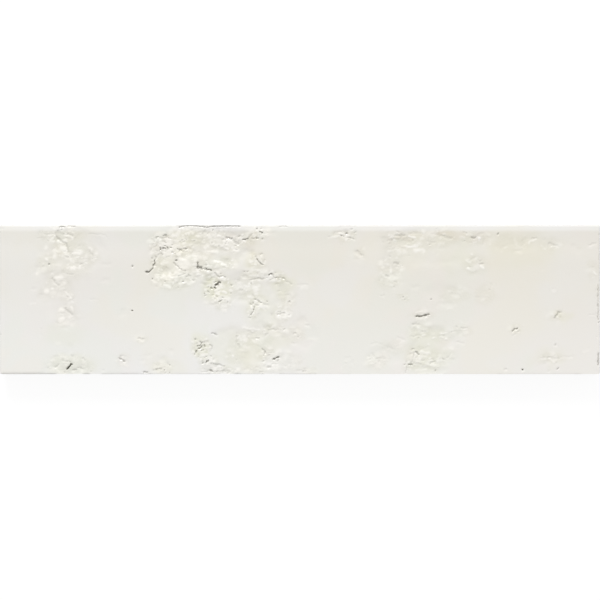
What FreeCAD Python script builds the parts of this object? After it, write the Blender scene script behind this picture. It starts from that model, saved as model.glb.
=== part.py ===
"""Brick-format ceramic wall tile: one pressed and fired piece, lying on its back with the face up.

Millimetres. +X runs along the tile, +Y across it, +Z out of the face.
The origin is on the plane of the back, under the centre of the tile.

The tile is made in two steps, as it is pressed. The blank has the outline, the foot that lets
the tile leave its die, the rounded arris and the keyed back. The moulded face is one surface
with the low rim, the slow waves and the broken patches, and the blank is trimmed to it.
"""
import FreeCAD, Part
import math
import os

import Sketcher
from FreeCAD import Vector

# Driving dimensions, in millimetres unless the name says otherwise
SIZES = {
    "tile_length": 240.0,
    "tile_width": 59.6,
    "tile_thickness": 10.0,
    "corner_radius": 0.6,
    "arris_radius": 0.5,
    "arris_above_face": 0.08,
    "foot_height": 3.5,
    "foot_draft_degrees": 6.0,
    "key_count": 6,
    "key_width": 5.6,
    "key_pitch": 8.4,
    "key_depth": 0.9,
    "key_draft_degrees": 20.0,
    "key_to_end": 6.5,
    "wave_height": 0.1,
    "wave_length": 74.0,
    "rim_drop": 0.28,
    "rim_width": 3.0,
    "hollow_depth": 0.16,
    "hollow_width": 4.5,
    "broken_depth": 0.52,
    "broken_flank": 2.4,
    "master_length": 240.0,
    "master_width": 59.6,
    "lattice_pitch": 1.6,
}

# Broken patches of the face, drawn on the master: centre x and y, half length, half width,
# turn in degrees, and depth as a share of broken_depth. Those that meet make one ragged hollow.
BROKEN_PATCHES = {
    "upper left": [
        (-91.0, 20.0, 15.0, 10.5, -8.0, 0.30),
        (-97.0, 3.0, 8.0, 12.0, 6.0, 0.25),
        (-92.0, -5.5, 4.6, 6.0, 0.0, 0.23),
    ],
    "lower left": [
        (-91.5, -28.2, 9.0, 4.4, 0.0, 1.0),
        (-54.0, -25.6, 7.0, 3.0, 0.0, 0.22),
    ],
    "main": [
        (-53.0, 15.0, 7.4, 7.6, 0.0, 0.54),
        (-46.0, 24.0, 12.0, 6.2, 4.0, 0.60),
        (-31.0, 21.8, 14.5, 9.0, -6.0, 0.60),
        (-33.5, 5.8, 6.2, 7.0, 10.0, 0.53),
        (-18.5, 4.5, 12.5, 8.4, -12.0, 0.44),
        (-9.5, -0.5, 7.6, 9.4, 0.0, 0.34),
    ],
    "lower middle": [
        (-27.0, -19.5, 13.5, 9.5, 0.0, 0.40),
        (-33.0, -28.6, 8.0, 4.0, 0.0, 0.96),
        (-13.5, -18.0, 10.5, 11.5, 0.0, 0.36),
        (0.5, -14.0, 7.5, 7.5, 20.0, 0.16),
    ],
    "upper right": [
        (18.5, 26.4, 7.0, 3.2, -14.0, 0.25),
        (38.0, 15.0, 6.2, 12.0, 0.0, 0.26),
        (52.0, 20.5, 19.0, 9.0, -5.0, 0.24),
        (58.0, 2.4, 11.0, 5.2, 0.0, 0.18),
        (88.0, 22.5, 24.0, 4.6, -2.0, 0.16),
    ],
    "lower right": [
        (34.0, -22.5, 10.0, 5.8, 0.0, 0.20),
        (52.5, -18.5, 10.0, 10.0, 8.0, 0.37),
        (50.5, -28.4, 9.0, 4.2, 0.0, 0.98),
        (101.0, -23.6, 6.5, 2.6, -6.0, 0.18),
    ],
}

# Sketches are drawn at a rough size and then driven by the sheet
ROUGH_RUN = 100.0
EDGE_TOLERANCE = 1e-3

SHEET_NAME = "Sizes"
NODE_NAME = "wall_tile"
PARTS_FOLDER = "parts"


def make_sheet(doc):
    """The driving dimensions, one row each, with the name as the alias of its cell."""
    sheet = doc.addObject("Spreadsheet::Sheet", SHEET_NAME)
    for row, (name, value) in enumerate(SIZES.items(), start=1):
        sheet.set(f"A{row}", name)
        sheet.set(f"B{row}", str(value))
        sheet.setAlias(f"B{row}", name)
    doc.recompute()
    return sheet


def origin_plane(body, role):
    return next(plane for plane in body.Origin.OriginFeatures if plane.Role == role)


def add_sketch(body, name, height=None):
    """A sketch on the body's XY plane, raised to a height given as an expression."""
    sketch = body.newObject("Sketcher::SketchObject", name)
    sketch.AttachmentSupport = (origin_plane(body, "XY_Plane"), "")
    sketch.MapMode = "FlatFace"
    if height:
        sketch.setExpression("AttachmentOffset.Base.z", height)
    return sketch


def drive(sketch, name, constraint, expression):
    """Add a dimension to a sketch and bind it to an expression."""
    index = sketch.addConstraint(constraint)
    sketch.renameConstraint(index, name)
    sketch.setExpression(f"Constraints.{name}", expression)


def draw_rounded_rectangle(sketch, length, width, radius):
    """A rectangle with rounded corners, centred on the sketch's origin."""
    half_x, half_y, corner = ROUGH_RUN, ROUGH_RUN / 4, ROUGH_RUN / 20
    centres = [
        Vector(half_x, -half_y, 0),
        Vector(half_x, half_y, 0),
        Vector(-half_x, half_y, 0),
        Vector(-half_x, -half_y, 0),
    ]
    outward = [Vector(0, -corner, 0), Vector(corner, 0, 0), Vector(0, corner, 0), Vector(-corner, 0, 0)]
    axis = Vector(0, 0, 1)
    for i in range(4):
        line = Part.LineSegment(centres[i - 1] + outward[i], centres[i] + outward[i])
        sketch.addGeometry(line, False)
    for i in range(4):
        start = (i - 1) * math.pi / 2
        circle = Part.Circle(centres[i], axis, corner)
        sketch.addGeometry(Part.ArcOfCircle(circle, start, start + math.pi / 2), False)
    for i in range(4):
        sketch.addConstraint(Sketcher.Constraint("Tangent", i, 2, i + 4, 1))
        sketch.addConstraint(Sketcher.Constraint("Tangent", i + 4, 2, (i + 1) % 4, 1))
    for i, direction in enumerate(("Horizontal", "Vertical", "Horizontal", "Vertical")):
        sketch.addConstraint(Sketcher.Constraint(direction, i))
    for i in (4, 5, 6):
        sketch.addConstraint(Sketcher.Constraint("Equal", i, i + 1))
    sketch.addConstraint(Sketcher.Constraint("Symmetric", 0, 1, 2, 1, -1, 1))
    drive(sketch, "radius", Sketcher.Constraint("Radius", 4, corner), radius)
    full_x, full_y = 2 * (half_x + corner), 2 * (half_y + corner)
    drive(sketch, "length", Sketcher.Constraint("DistanceX", 3, 1, 1, 1, full_x), length)
    drive(sketch, "width", Sketcher.Constraint("DistanceY", 0, 1, 2, 1, full_y), width)


def draw_slot(sketch, length, width, centre_y):
    """A round-ended slot along X, centred in X and set off in Y, bound to three expressions."""
    run, radius, offset = ROUGH_RUN, ROUGH_RUN / 32, -ROUGH_RUN / 5
    left, right = Vector(-run, offset, 0), Vector(run, offset, 0)
    up = Vector(0, radius, 0)
    axis = Vector(0, 0, 1)
    quarter = math.pi / 2
    sketch.addGeometry(Part.LineSegment(left - up, right - up), False)
    sketch.addGeometry(
        Part.ArcOfCircle(Part.Circle(right, axis, radius), -quarter, quarter), False
    )
    sketch.addGeometry(Part.LineSegment(right + up, left + up), False)
    sketch.addGeometry(
        Part.ArcOfCircle(Part.Circle(left, axis, radius), quarter, 3 * quarter), False
    )
    for i in range(4):
        sketch.addConstraint(Sketcher.Constraint("Tangent", i, 2, (i + 1) % 4, 1))
    sketch.addConstraint(Sketcher.Constraint("Equal", 1, 3))
    sketch.addConstraint(Sketcher.Constraint("Symmetric", 0, 1, 0, 2, -2))
    drive(sketch, "radius", Sketcher.Constraint("Radius", 1, radius), f"({width}) / 2")
    drive(sketch, "run", Sketcher.Constraint("DistanceX", 0, 1, 0, 2, 2 * run), f"{length} - ({width})")
    drive(sketch, "offset", Sketcher.Constraint("DistanceY", 1, 3, -1, 1, -offset), centre_y)


def edges_where(shape, wanted):
    """Names of the edges that satisfy a test."""
    return [f"Edge{i}" for i, edge in enumerate(shape.Edges, start=1) if wanted(edge)]


def make_blank(doc):
    """Outline, foot, corners, arris and keyed back, pressed as one block."""
    body = doc.addObject("PartDesign::Body", "pressed_blank")
    sizes = f"{SHEET_NAME}."

    outline = add_sketch(body, "outline", f"{sizes}foot_height")
    draw_rounded_rectangle(
        outline, f"{sizes}tile_length", f"{sizes}tile_width", f"{sizes}corner_radius"
    )

    wall = body.newObject("PartDesign::Pad", "wall")
    wall.Profile = outline
    wall.setExpression(
        "Length", f"{sizes}tile_thickness + {sizes}arris_above_face - {sizes}foot_height"
    )

    foot = body.newObject("PartDesign::Pad", "foot")
    foot.Profile = outline
    foot.Reversed = True
    foot.setExpression("Length", f"{sizes}foot_height")
    foot.setExpression("TaperAngle", f"-{sizes}foot_draft_degrees")
    doc.recompute()

    arris = body.newObject("PartDesign::Fillet", "arris")
    top = foot.Shape.BoundBox.ZMax
    upper = edges_where(foot.Shape, lambda edge: edge.BoundBox.ZMin > top - EDGE_TOLERANCE)
    arris.Base = (foot, upper)
    arris.setExpression("Radius", f"{sizes}arris_radius")
    doc.recompute()

    key_outline = add_sketch(body, "key_outline")
    foot_inset = f"{sizes}foot_height * tan({sizes}foot_draft_degrees * 1 deg)"
    draw_slot(
        key_outline,
        f"{sizes}tile_length - 2 * ({sizes}key_to_end + {foot_inset})",
        f"{sizes}key_width",
        f"{sizes}key_pitch * ({sizes}key_count - 1) / 2",
    )
    key = body.newObject("PartDesign::Pocket", "key")
    key.Profile = key_outline
    key.Reversed = True
    key.setExpression("Length", f"{sizes}key_depth")
    key.setExpression("TaperAngle", f"-{sizes}key_draft_degrees")
    doc.recompute()

    keys = body.newObject("PartDesign::LinearPattern", "keys")
    keys.Originals = [key]
    keys.Direction = (key_outline, ["V_Axis"])
    keys.setExpression("Length", f"{sizes}key_pitch * ({sizes}key_count - 1)")
    keys.setExpression("Occurrences", f"{sizes}key_count")
    body.Tip = keys
    doc.recompute()
    return body


def ramp(value):
    """0 below 0, 1 above 1, and smooth between them."""
    value = min(1.0, max(0.0, value))
    return value * value * (3.0 - 2.0 * value)


def patch_reach(x, y, patch, flank):
    """How far a point is inside one patch: 0 at its edge, 1 a flank's width inside it."""
    centre_x, centre_y, half_length, half_width, turn, _ = patch
    angle = math.radians(turn)
    along = (x - centre_x) * math.cos(angle) + (y - centre_y) * math.sin(angle)
    across = (y - centre_y) * math.cos(angle) - (x - centre_x) * math.sin(angle)
    distance = math.hypot(along / half_length, across / half_width)
    return (1.0 - distance) * min(half_length, half_width) / flank


def broken_share(x, y, flank):
    """Depth of the broken patches at a point of the master, as a share of broken_depth."""
    return max(
        patch[-1] * ramp(patch_reach(x, y, patch, flank))
        for patches in BROKEN_PATCHES.values()
        for patch in patches
    )


def face_height(x, y, sheet):
    """Height of the moulded face above the back at a point of the tile."""
    wave = 0.5 + 0.25 * (
        math.sin(2 * math.pi * x / sheet.wave_length)
        + math.cos(2 * math.pi * (y + 0.5 * x) / sheet.wave_length)
    )
    from_top = sheet.tile_width / 2 - y
    rim = sheet.rim_drop * (1.0 - ramp(from_top / sheet.rim_width))
    hollow = math.exp(-(((from_top - sheet.rim_width) / sheet.hollow_width - 1.0) ** 2))
    broken = broken_share(
        x * sheet.master_length / sheet.tile_length,
        y * sheet.master_width / sheet.tile_width,
        sheet.broken_flank,
    )
    return (
        sheet.tile_thickness
        - sheet.wave_height * wave
        - sheet.hollow_depth * hollow
        - max(rim, sheet.broken_depth * broken)
    )


def lattice(half, pitch):
    """Evenly spaced places that reach two pitches past both edges."""
    steps = math.ceil(half / pitch) + 2
    return [i * half / (steps - 2) for i in range(-steps, steps + 1)]


def clamped_knots(poles, degree):
    spans = poles - degree
    ends = [degree + 1]
    return list(range(spans + 1)), ends + [1] * (spans - 1) + ends


def make_moulded_face(doc, sheet):
    """The material under the face: one bicubic surface, carried down past the back."""
    degree = 3
    xs = lattice(sheet.tile_length / 2, sheet.lattice_pitch)
    ys = lattice(sheet.tile_width / 2, sheet.lattice_pitch)
    poles = [[Vector(x, y, face_height(x, y, sheet)) for y in ys] for x in xs]
    x_knots, x_counts = clamped_knots(len(xs), degree)
    y_knots, y_counts = clamped_knots(len(ys), degree)
    surface = Part.BSplineSurface()
    surface.buildFromPolesMultsKnots(
        poles, x_counts, y_counts, x_knots, y_knots, False, False, degree, degree
    )
    under = surface.toShape().extrude(Vector(0, 0, -2 * sheet.tile_thickness))
    face = doc.addObject("Part::Feature", "moulded_face")
    face.Shape = under
    return face


def make_tile(doc, blank, face):
    """The blank trimmed to the moulded face."""
    tile = doc.addObject("Part::Common", NODE_NAME)
    tile.Base = blank
    tile.Tool = face
    tile.Label = NODE_NAME
    doc.recompute()
    return tile


def check(doc, tile):
    for item in doc.Objects:
        if "Invalid" in item.State or "Error" in item.State:
            raise RuntimeError(f"{item.Name} was not made: {item.State}")
    shape = tile.Shape
    if shape.isNull() or not shape.isValid() or len(shape.Solids) != 1:
        raise RuntimeError(f"{tile.Label} is not one valid solid")


def main():
    doc = FreeCAD.newDocument("WallTile")
    sheet = make_sheet(doc)
    blank = make_blank(doc)
    face = make_moulded_face(doc, sheet)
    tile = make_tile(doc, blank, face)
    check(doc, tile)
    os.makedirs(PARTS_FOLDER, exist_ok=True)
    tile.Shape.exportStep(os.path.join(PARTS_FOLDER, f"{NODE_NAME}.step"))
    box = tile.Shape.optimalBoundingBox()
    print(f"{NODE_NAME}: {box.XLength:.2f} x {box.YLength:.2f} x {box.ZLength:.2f} mm")
    print(f"{NODE_NAME}: {tile.Shape.Volume:.0f} mm3 in {len(tile.Shape.Faces)} faces")


main()
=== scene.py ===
"""Brick-format ceramic wall tile: off-white satin glaze over a broken, undulating face."""
import math
import random

import bpy
import numpy as np
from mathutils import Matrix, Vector, noise


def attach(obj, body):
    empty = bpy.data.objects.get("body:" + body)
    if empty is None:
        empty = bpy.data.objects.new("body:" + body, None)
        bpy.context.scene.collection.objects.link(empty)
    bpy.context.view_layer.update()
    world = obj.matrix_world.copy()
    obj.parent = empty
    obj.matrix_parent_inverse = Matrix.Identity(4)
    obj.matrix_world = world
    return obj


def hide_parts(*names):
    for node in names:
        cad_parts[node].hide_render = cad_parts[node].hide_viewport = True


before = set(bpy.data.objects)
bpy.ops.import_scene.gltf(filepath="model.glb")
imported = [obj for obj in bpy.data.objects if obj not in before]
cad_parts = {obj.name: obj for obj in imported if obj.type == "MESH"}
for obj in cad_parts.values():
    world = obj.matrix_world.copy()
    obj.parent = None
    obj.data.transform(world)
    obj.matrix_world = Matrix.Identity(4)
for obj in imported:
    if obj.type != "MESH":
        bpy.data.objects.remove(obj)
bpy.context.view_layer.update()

MM = 0.001

# The tile, in millimetres, as the pressed solid has it
TILE_LENGTH = 240.0
TILE_WIDTH = 59.6
TILE_THICKNESS = 10.0
CORNER_RADIUS = 0.6
FOOT_HEIGHT = 3.5
FOOT_INSET = 0.368
WALL_BELOW_FACE = 1.2

# The face starts a little low, so that lumps and swells stay inside the solid
HEADROOM = 0.12
FACE_HEIGHT = TILE_THICKNESS - HEADROOM
TOP_CLEARANCE = 0.004
LEVEL_TOLERANCE = 0.01

# Grooves in the back, and how round their ends are
KEY_COUNT = 6
KEY_WIDTH = 5.6
KEY_PITCH = 8.4
KEY_DEPTH = 0.9
KEY_DRAFT = 0.33
KEY_TO_END = 6.87
KEY_END_SHARE = 0.499
KEY_END_STEPS = 8
CUT_BEYOND = 0.1

# Rounded edge, and rolled rim along the upper edge: how far in from the tile's side, and how far
# below the face
ARRIS_STEPS = [(0.23, 0.0), (0.14, 0.073), (0.06, 0.183), (0.0, 0.42)]
RIM_PROFILE = [(0.0, 0.115), (1.7, 0.035), (2.1, 0.0)]
ARRIS_BREAK = 0.8
SMOOTH_ANGLE = 50

# Slow forms of the face
WAVE_HEIGHT = 0.1
WAVE_LENGTH = 74.0
WAVE_SLANT = 0.5
HOLLOW_DEPTH = 0.16
HOLLOW_CENTRE = 7.2
HOLLOW_WIDTH = 5.0
BROKEN_DEPTH = 0.52
BROKEN_FLANK = 3.8

# Unevenness inside the broken patches, and from what depth on it is full
FULL_WEAR = 0.60
SWELL_HEIGHT = 0.18
GRAIN_HEIGHT = 0.05
GRAIN_SIZE = 2.4
GRAIN_SEED = 23.0
CREASE_GAP = 0.45

# How far crumbled and stained places reach past their drawn size, and how they fade
CRUMBLE_REACH = 1.35
CRUMBLE_FADE = 0.7
STAIN_REACH = 1.5

# Cells of the face, and where they are halved
GRID_PITCH = 1.0
FINEST_CRUMBLE = 0.34
NARROW_MARK = 0.75
RIM_MARGIN = 1.4
MARK_MARGIN = 1.2
LUMP_MARGIN = 1.0
FINE_MARGIN = 0.4
TRACE = 0.02
FAINTEST = 0.002

# How a drawn outline is made ragged: steps of how far, over what size and the noise's seed
PATCH_WANDER = [(2.2, 6.0, 3.0), (0.7, 2.6, 5.0)]
CRUMBLE_WANDER = [(1.2, 3.0, 9.0)]
SWELL_WANDER = [(0.8, 2.4, 71.0)]
GRAIN_WANDER = [(0.4, 1.2, 73.0)]
MARK_WANDER = [(0.38, 1.3, 31.0), (0.25, 0.6, 37.0)]
LUMP_WANDER = [(0.55, 2.2, 61.0), (0.3, 0.9, 67.0)]
STAIN_WANDER = [(3.0, 5.0, 51.0)]
ARRIS_WANDER = [(0.6, 1.5, 41.0)]
ACROSS_SEED = 7.3
STRAIGHT_EDGE = 2.0

# Swells: length, width, seed and octaves of the noise
SWELLS = (3.8, 3.2, 11.0, 2)
OCTAVE_DROP = 0.7
OCTAVE_STEP = 2.1

# Wear in small patches: length, width and seed of the noise, its contrast and the most it takes
MARK_WEAR = (1.1, 0.9, 43.0, 1.8, 0.5)
LUMP_WEAR = (1.7, 1.2, 47.0, 1.6, 0.35)

# Struck marks: which are broad, how soft the faintest narrow ones are, and how much wider
BROAD_MARK = 0.95
SOFTEST = 0.55
FIRM_DARKNESS = 0.7
SOFT_SPREAD = 1.7
FIRM_NARROWING = 0.5
DEEPEST_MARK = 1.0

# Direction towards the upper edge in which marks have their steep wall, and how steep it is
STEEP_SIDE = (-0.3, 0.954)
MARK_SKEW = 0.32
LUMP_SKEW = -0.10

# Share of a lump's height that is raised, the rest shown by paler glaze with a painted highlight;
# the height at which that is palest; and how dark pits are painted with shade and grime
LUMP_RELIEF = 0.35
PALE_AND_HIGHLIGHT_HEIGHT = 0.20
PIT_DARKNESS = 2.0

# Kinds of lump and pit that are scattered: half widths, heights and longest run
LUMP = ((0.8, 2.0), (0.12, 0.32), 3.0)
CRUMB = ((0.50, 0.82), (0.10, 0.30), 0.6)
PIT = ((0.45, 0.70), (0.12, 0.32), 1.0)
HOLLOW = ((0.8, 1.6), (0.06, 0.15), 2.5)
OUTWARD_POWER = 0.55
SLANT = 0.3

# Broken patches of the face: centre x and y, half length, half width, turn in degrees, and depth
# as a share of BROKEN_DEPTH
BROKEN_PATCHES = [
    (-91, 20, 15, 10.5, -8, 0.3), (-97, 3, 8, 12, 6, 0.25), (-92, -5.5, 4.6, 6, 0, 0.23),
    (-91.5, -28.2, 9, 4.4, 0, 0.6), (-54, -25.6, 7, 3, 0, 0.22), (-53, 15, 7.4, 7.6, 0, 0.54),
    (-46, 25, 11.5, 10, 0, 0.45), (-31, 21.8, 14.5, 9, -6, 0.6), (-33.5, 5.8, 6.2, 7, 10, 0.53),
    (-18.5, 4.5, 12.5, 8.4, -12, 0.44), (-9.5, -0.5, 7.6, 9.4, 0, 0.34),
    (-27, -19.5, 13.5, 9.5, 0, 0.26), (-33, -28.6, 8, 4, 0, 0.6),
    (-13.5, -18, 10.5, 11.5, 0, 0.36), (0.5, -14, 7.5, 7.5, 20, 0.16),
    (18.5, 26.4, 7, 3.2, -14, 0.25), (38, 15, 6.2, 12, 0, 0.26), (52, 20.5, 19, 9, -5, 0.24),
    (58, 2.4, 11, 5.2, 0, 0.18), (88, 22.5, 24, 4.6, -2, 0.16), (34, -22.5, 10, 5.8, 0, 0.2),
    (52.5, -18.5, 10, 10, 8, 0.37), (50.5, -28.4, 9, 4.2, 0, 0.6),
    (101, -23.6, 6.5, 2.6, -6, 0.18),
]

# Crumbled places: centre x and y, half length and half width, how tall the crumbs are as a share,
# and how many soft lumps, small crumbs and dark pits lie there
CRUMBLED = [
    (-95.5, 26, 9, 3.5, 0.8, 9, 16, 6), (-94, 20.5, 5, 4, 0.8, 4, 8, 3),
    (-101, 14.5, 4, 4, 0.6, 3, 6, 2), (-86.5, 17.5, 6, 5, 0.7, 7, 10, 3),
    (-90, 12, 6, 3.5, 0.6, 3, 4, 1), (-97, 7, 5, 4, 0.6, 3, 4, 2), (-101, 2.5, 4, 3, 0.4, 2, 2, 0),
    (-93.5, 2, 3, 3, 0.5, 4, 2, 1), (-93, -6.5, 5, 4.5, 0.5, 4, 4, 0),
    (-92.5, -26, 9, 3.8, 0.7, 12, 26, 10), (-86, -27.5, 4, 1.8, 0.7, 3, 7, 3),
    (-71, -24, 2.5, 2.5, 0.6, 1, 6, 2), (-63, -16, 2.5, 1.5, 0.5, 1, 2, 0),
    (-55, -27.2, 4.5, 2.2, 0.7, 4, 12, 6), (-54, 21.5, 6.5, 5, 1, 24, 40, 16),
    (-56.5, 14, 3.6, 5.5, 0.8, 5, 14, 6), (-47, 20.5, 5, 4, 0.9, 12, 14, 6),
    (-44, 26.3, 9, 3.2, 0.9, 16, 18, 5), (-50.5, 7.5, 8.5, 3.2, 1, 22, 8, 3),
    (-44, 10.5, 4, 3, 0.9, 8, 6, 3), (-38.5, 16, 5, 4, 0.9, 8, 12, 4),
    (-36.5, 11, 5, 3, 1, 8, 8, 3), (-34, 24, 8, 5, 0.9, 20, 16, 5),
    (-30, 14.5, 5, 2.5, 1, 5, 6, 1), (-27, 22, 4.5, 3.5, 0.9, 7, 12, 6),
    (-22, 24.5, 4, 3, 0.9, 4, 8, 3), (-16, 26.5, 3.5, 2.8, 1, 5, 14, 6),
    (-17, 15.5, 3.5, 3.5, 0.9, 5, 9, 3), (-17, 10, 6, 2.5, 0.9, 9, 6, 2),
    (-33, 5, 6, 5.5, 1, 10, 40, 13), (-31, -1.5, 4, 2.5, 0.9, 4, 10, 3),
    (-22, 5, 6, 5, 0.8, 9, 6, 1), (-9.5, 8.5, 4.5, 2.5, 0.9, 4, 9, 4),
    (-17, -1, 4.5, 3, 0.9, 4, 10, 3), (-19, -4.5, 2.5, 3, 0.9, 2, 6, 3),
    (-7.5, -5.5, 4, 3.5, 0.8, 5, 8, 2), (-5, 0.5, 4, 5, 0.6, 6, 4, 1),
    (-10, -12, 5, 2.5, 0.8, 6, 5, 2), (-18, -15, 8, 4, 0.7, 7, 6, 1),
    (-24, -17, 4, 5, 0.6, 2, 2, 0), (-39.5, -19, 4, 4, 1, 4, 26, 7),
    (-36.5, -24.5, 4, 2.5, 0.9, 4, 11, 5), (-32, -28, 8, 1.7, 0.9, 8, 12, 5),
    (-25, -22, 5, 5, 0.6, 4, 3, 0), (-14, -21.5, 3.5, 3.5, 0.8, 5, 7, 2),
    (-9.5, -23.5, 4, 3, 0.8, 4, 9, 2), (-15, -27.5, 10, 2, 0.7, 10, 9, 2),
    (-3, -14, 5, 3.5, 0.6, 5, 4, 1), (-3.5, -25, 4, 3.6, 0.6, 5, 4, 1),
    (3, -28.3, 5, 1.2, 0.6, 3, 4, 2), (18, 26.2, 4.5, 2.6, 0.8, 4, 11, 4),
    (24, 18.5, 2.5, 2.5, 0.5, 2, 3, 0), (38, 25, 6, 3, 0.6, 3, 5, 2), (38, 20, 5, 4, 0.5, 4, 3, 1),
    (36.5, 13, 5, 4.5, 0.6, 10, 8, 2), (35.5, 7.5, 5, 3, 0.6, 5, 4, 1),
    (47, 23.5, 7, 4, 0.6, 5, 6, 2), (57, 25, 6, 3.5, 0.5, 3, 4, 1), (70, 25, 6, 3, 0.6, 3, 6, 2),
    (70, 14, 5, 4.5, 0.5, 2, 3, 1), (85, 22, 9, 4, 0.35, 4, 3, 0), (100, 22, 5, 3, 0.45, 3, 2, 0),
    (117, 12, 2.4, 4, 0.45, 3, 1, 0), (62, 2, 6, 3, 0.45, 4, 3, 1),
    (41.5, 1, 2.5, 2, 0.6, 1, 3, 1), (74, 2, 4, 4, 0.5, 3, 1, 0), (49, -6.3, 5, 2.2, 0.6, 2, 8, 2),
    (48, -12.5, 5, 3.5, 0.6, 8, 5, 1), (57, -14.5, 4.5, 3, 0.6, 5, 5, 1),
    (65, -12, 4, 3, 0.55, 3, 2, 1), (37, -19, 5, 3, 0.5, 4, 2, 1),
    (31, -24.5, 5, 3.5, 0.6, 8, 7, 1), (47, -22, 4, 3.5, 0.8, 5, 11, 3),
    (44.5, -25.5, 3, 3, 0.8, 3, 9, 3), (53.5, -24.5, 5, 4, 0.7, 8, 9, 3),
    (59.5, -22, 3, 3, 0.5, 3, 2, 0), (86, -12, 2.5, 2, 0.6, 1, 5, 1),
    (102.5, -6.2, 2.5, 2, 0.5, 1, 4, 1), (100.5, -23.5, 5, 2.5, 0.6, 4, 6, 1),
]

# Where the glaze has pooled thicker and greener, and where it has flushed pink in the kiln: centre
# x and y, half length, half width and share
POOLED = [
    (-32, 4, 6, 5, 1), (-7.5, 5, 5, 5, 0.85), (-39.5, -18.5, 4, 4.5, 1), (-47.5, 25, 7, 3.5, 0.6),
    (-54, 13, 4.5, 4.5, 0.4), (-31, -20, 8, 6, 0.4), (-10, -18, 5, 4, 0.5),
    (-19.5, 15, 2.5, 5, 0.5), (-94, 18, 10, 8, 0.2), (106, -6, 3, 2.5, 0.6), (44, 21, 8, 7, 0.4),
    (62, 20, 9, 8, 0.45), (88, 20, 16, 7, 0.4), (50, -19, 8, 9, 0.6), (-15, -8, 6, 4, 0.5),
    (-90, -26, 9, 4, 0.4), (-95, -14, 8, 4, 0.4), (100, -23, 8, 3.5, 0.4), (-53, -27, 6, 2.5, 0.4),
    (-23, -20, 9, 8, 0.7), (-16, -2, 7, 6, 0.6), (-47, 20, 4, 3, 0.3), (-30.5, -19, 6, 6, 0.6),
    (-17, 4, 5, 4, 0.4), (-19, 22, 3, 5, 0.25), (-26, 17, 4, 3, 0.25),
]
FLUSHED = [
    (-19, 22.5, 2.2, 5.5, 0.6), (-45.5, 19.8, 3, 1.5, 0.6), (-28, 24.5, 3, 1.2, 0.7),
    (-55, 25, 2.5, 1.5, 0.6), (-94, 3, 5, 9, 0.15), (-97, 21, 4, 5, 0.4), (-12, 14, 9, 8, 0.2),
    (58, 26, 9, 2, 0.8), (41, 25.6, 5, 1.5, 0.8), (71, 25.5, 4, 1.8, 0.5), (-4, -8, 5, 9, 0.35),
    (-22, -12, 8, 3, 0.3), (4, 20, 16, 7, 0.3),
]

# How much of the arris is left along the lower and the upper edge, from x to x; 1 elsewhere
LOWER_ARRIS = [
    (-98, -86.4, -0.15), (-84.6, -79, 0), (-79, -60, 0.4), (-60, -40, 0.15), (-40, -36, 0.3),
    (-36, -26, 0), (-24, -15, 0.15), (-15, -8, 0), (-8, 6, 0.25), (6, 20, 0.05), (20, 51, -0.1),
    (51, 58, 0), (58, 80, 0.05), (80, 111, 0.12), (111, 120, 0),
]
UPPER_ARRIS = [(-50, -23.5, 0)]
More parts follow.
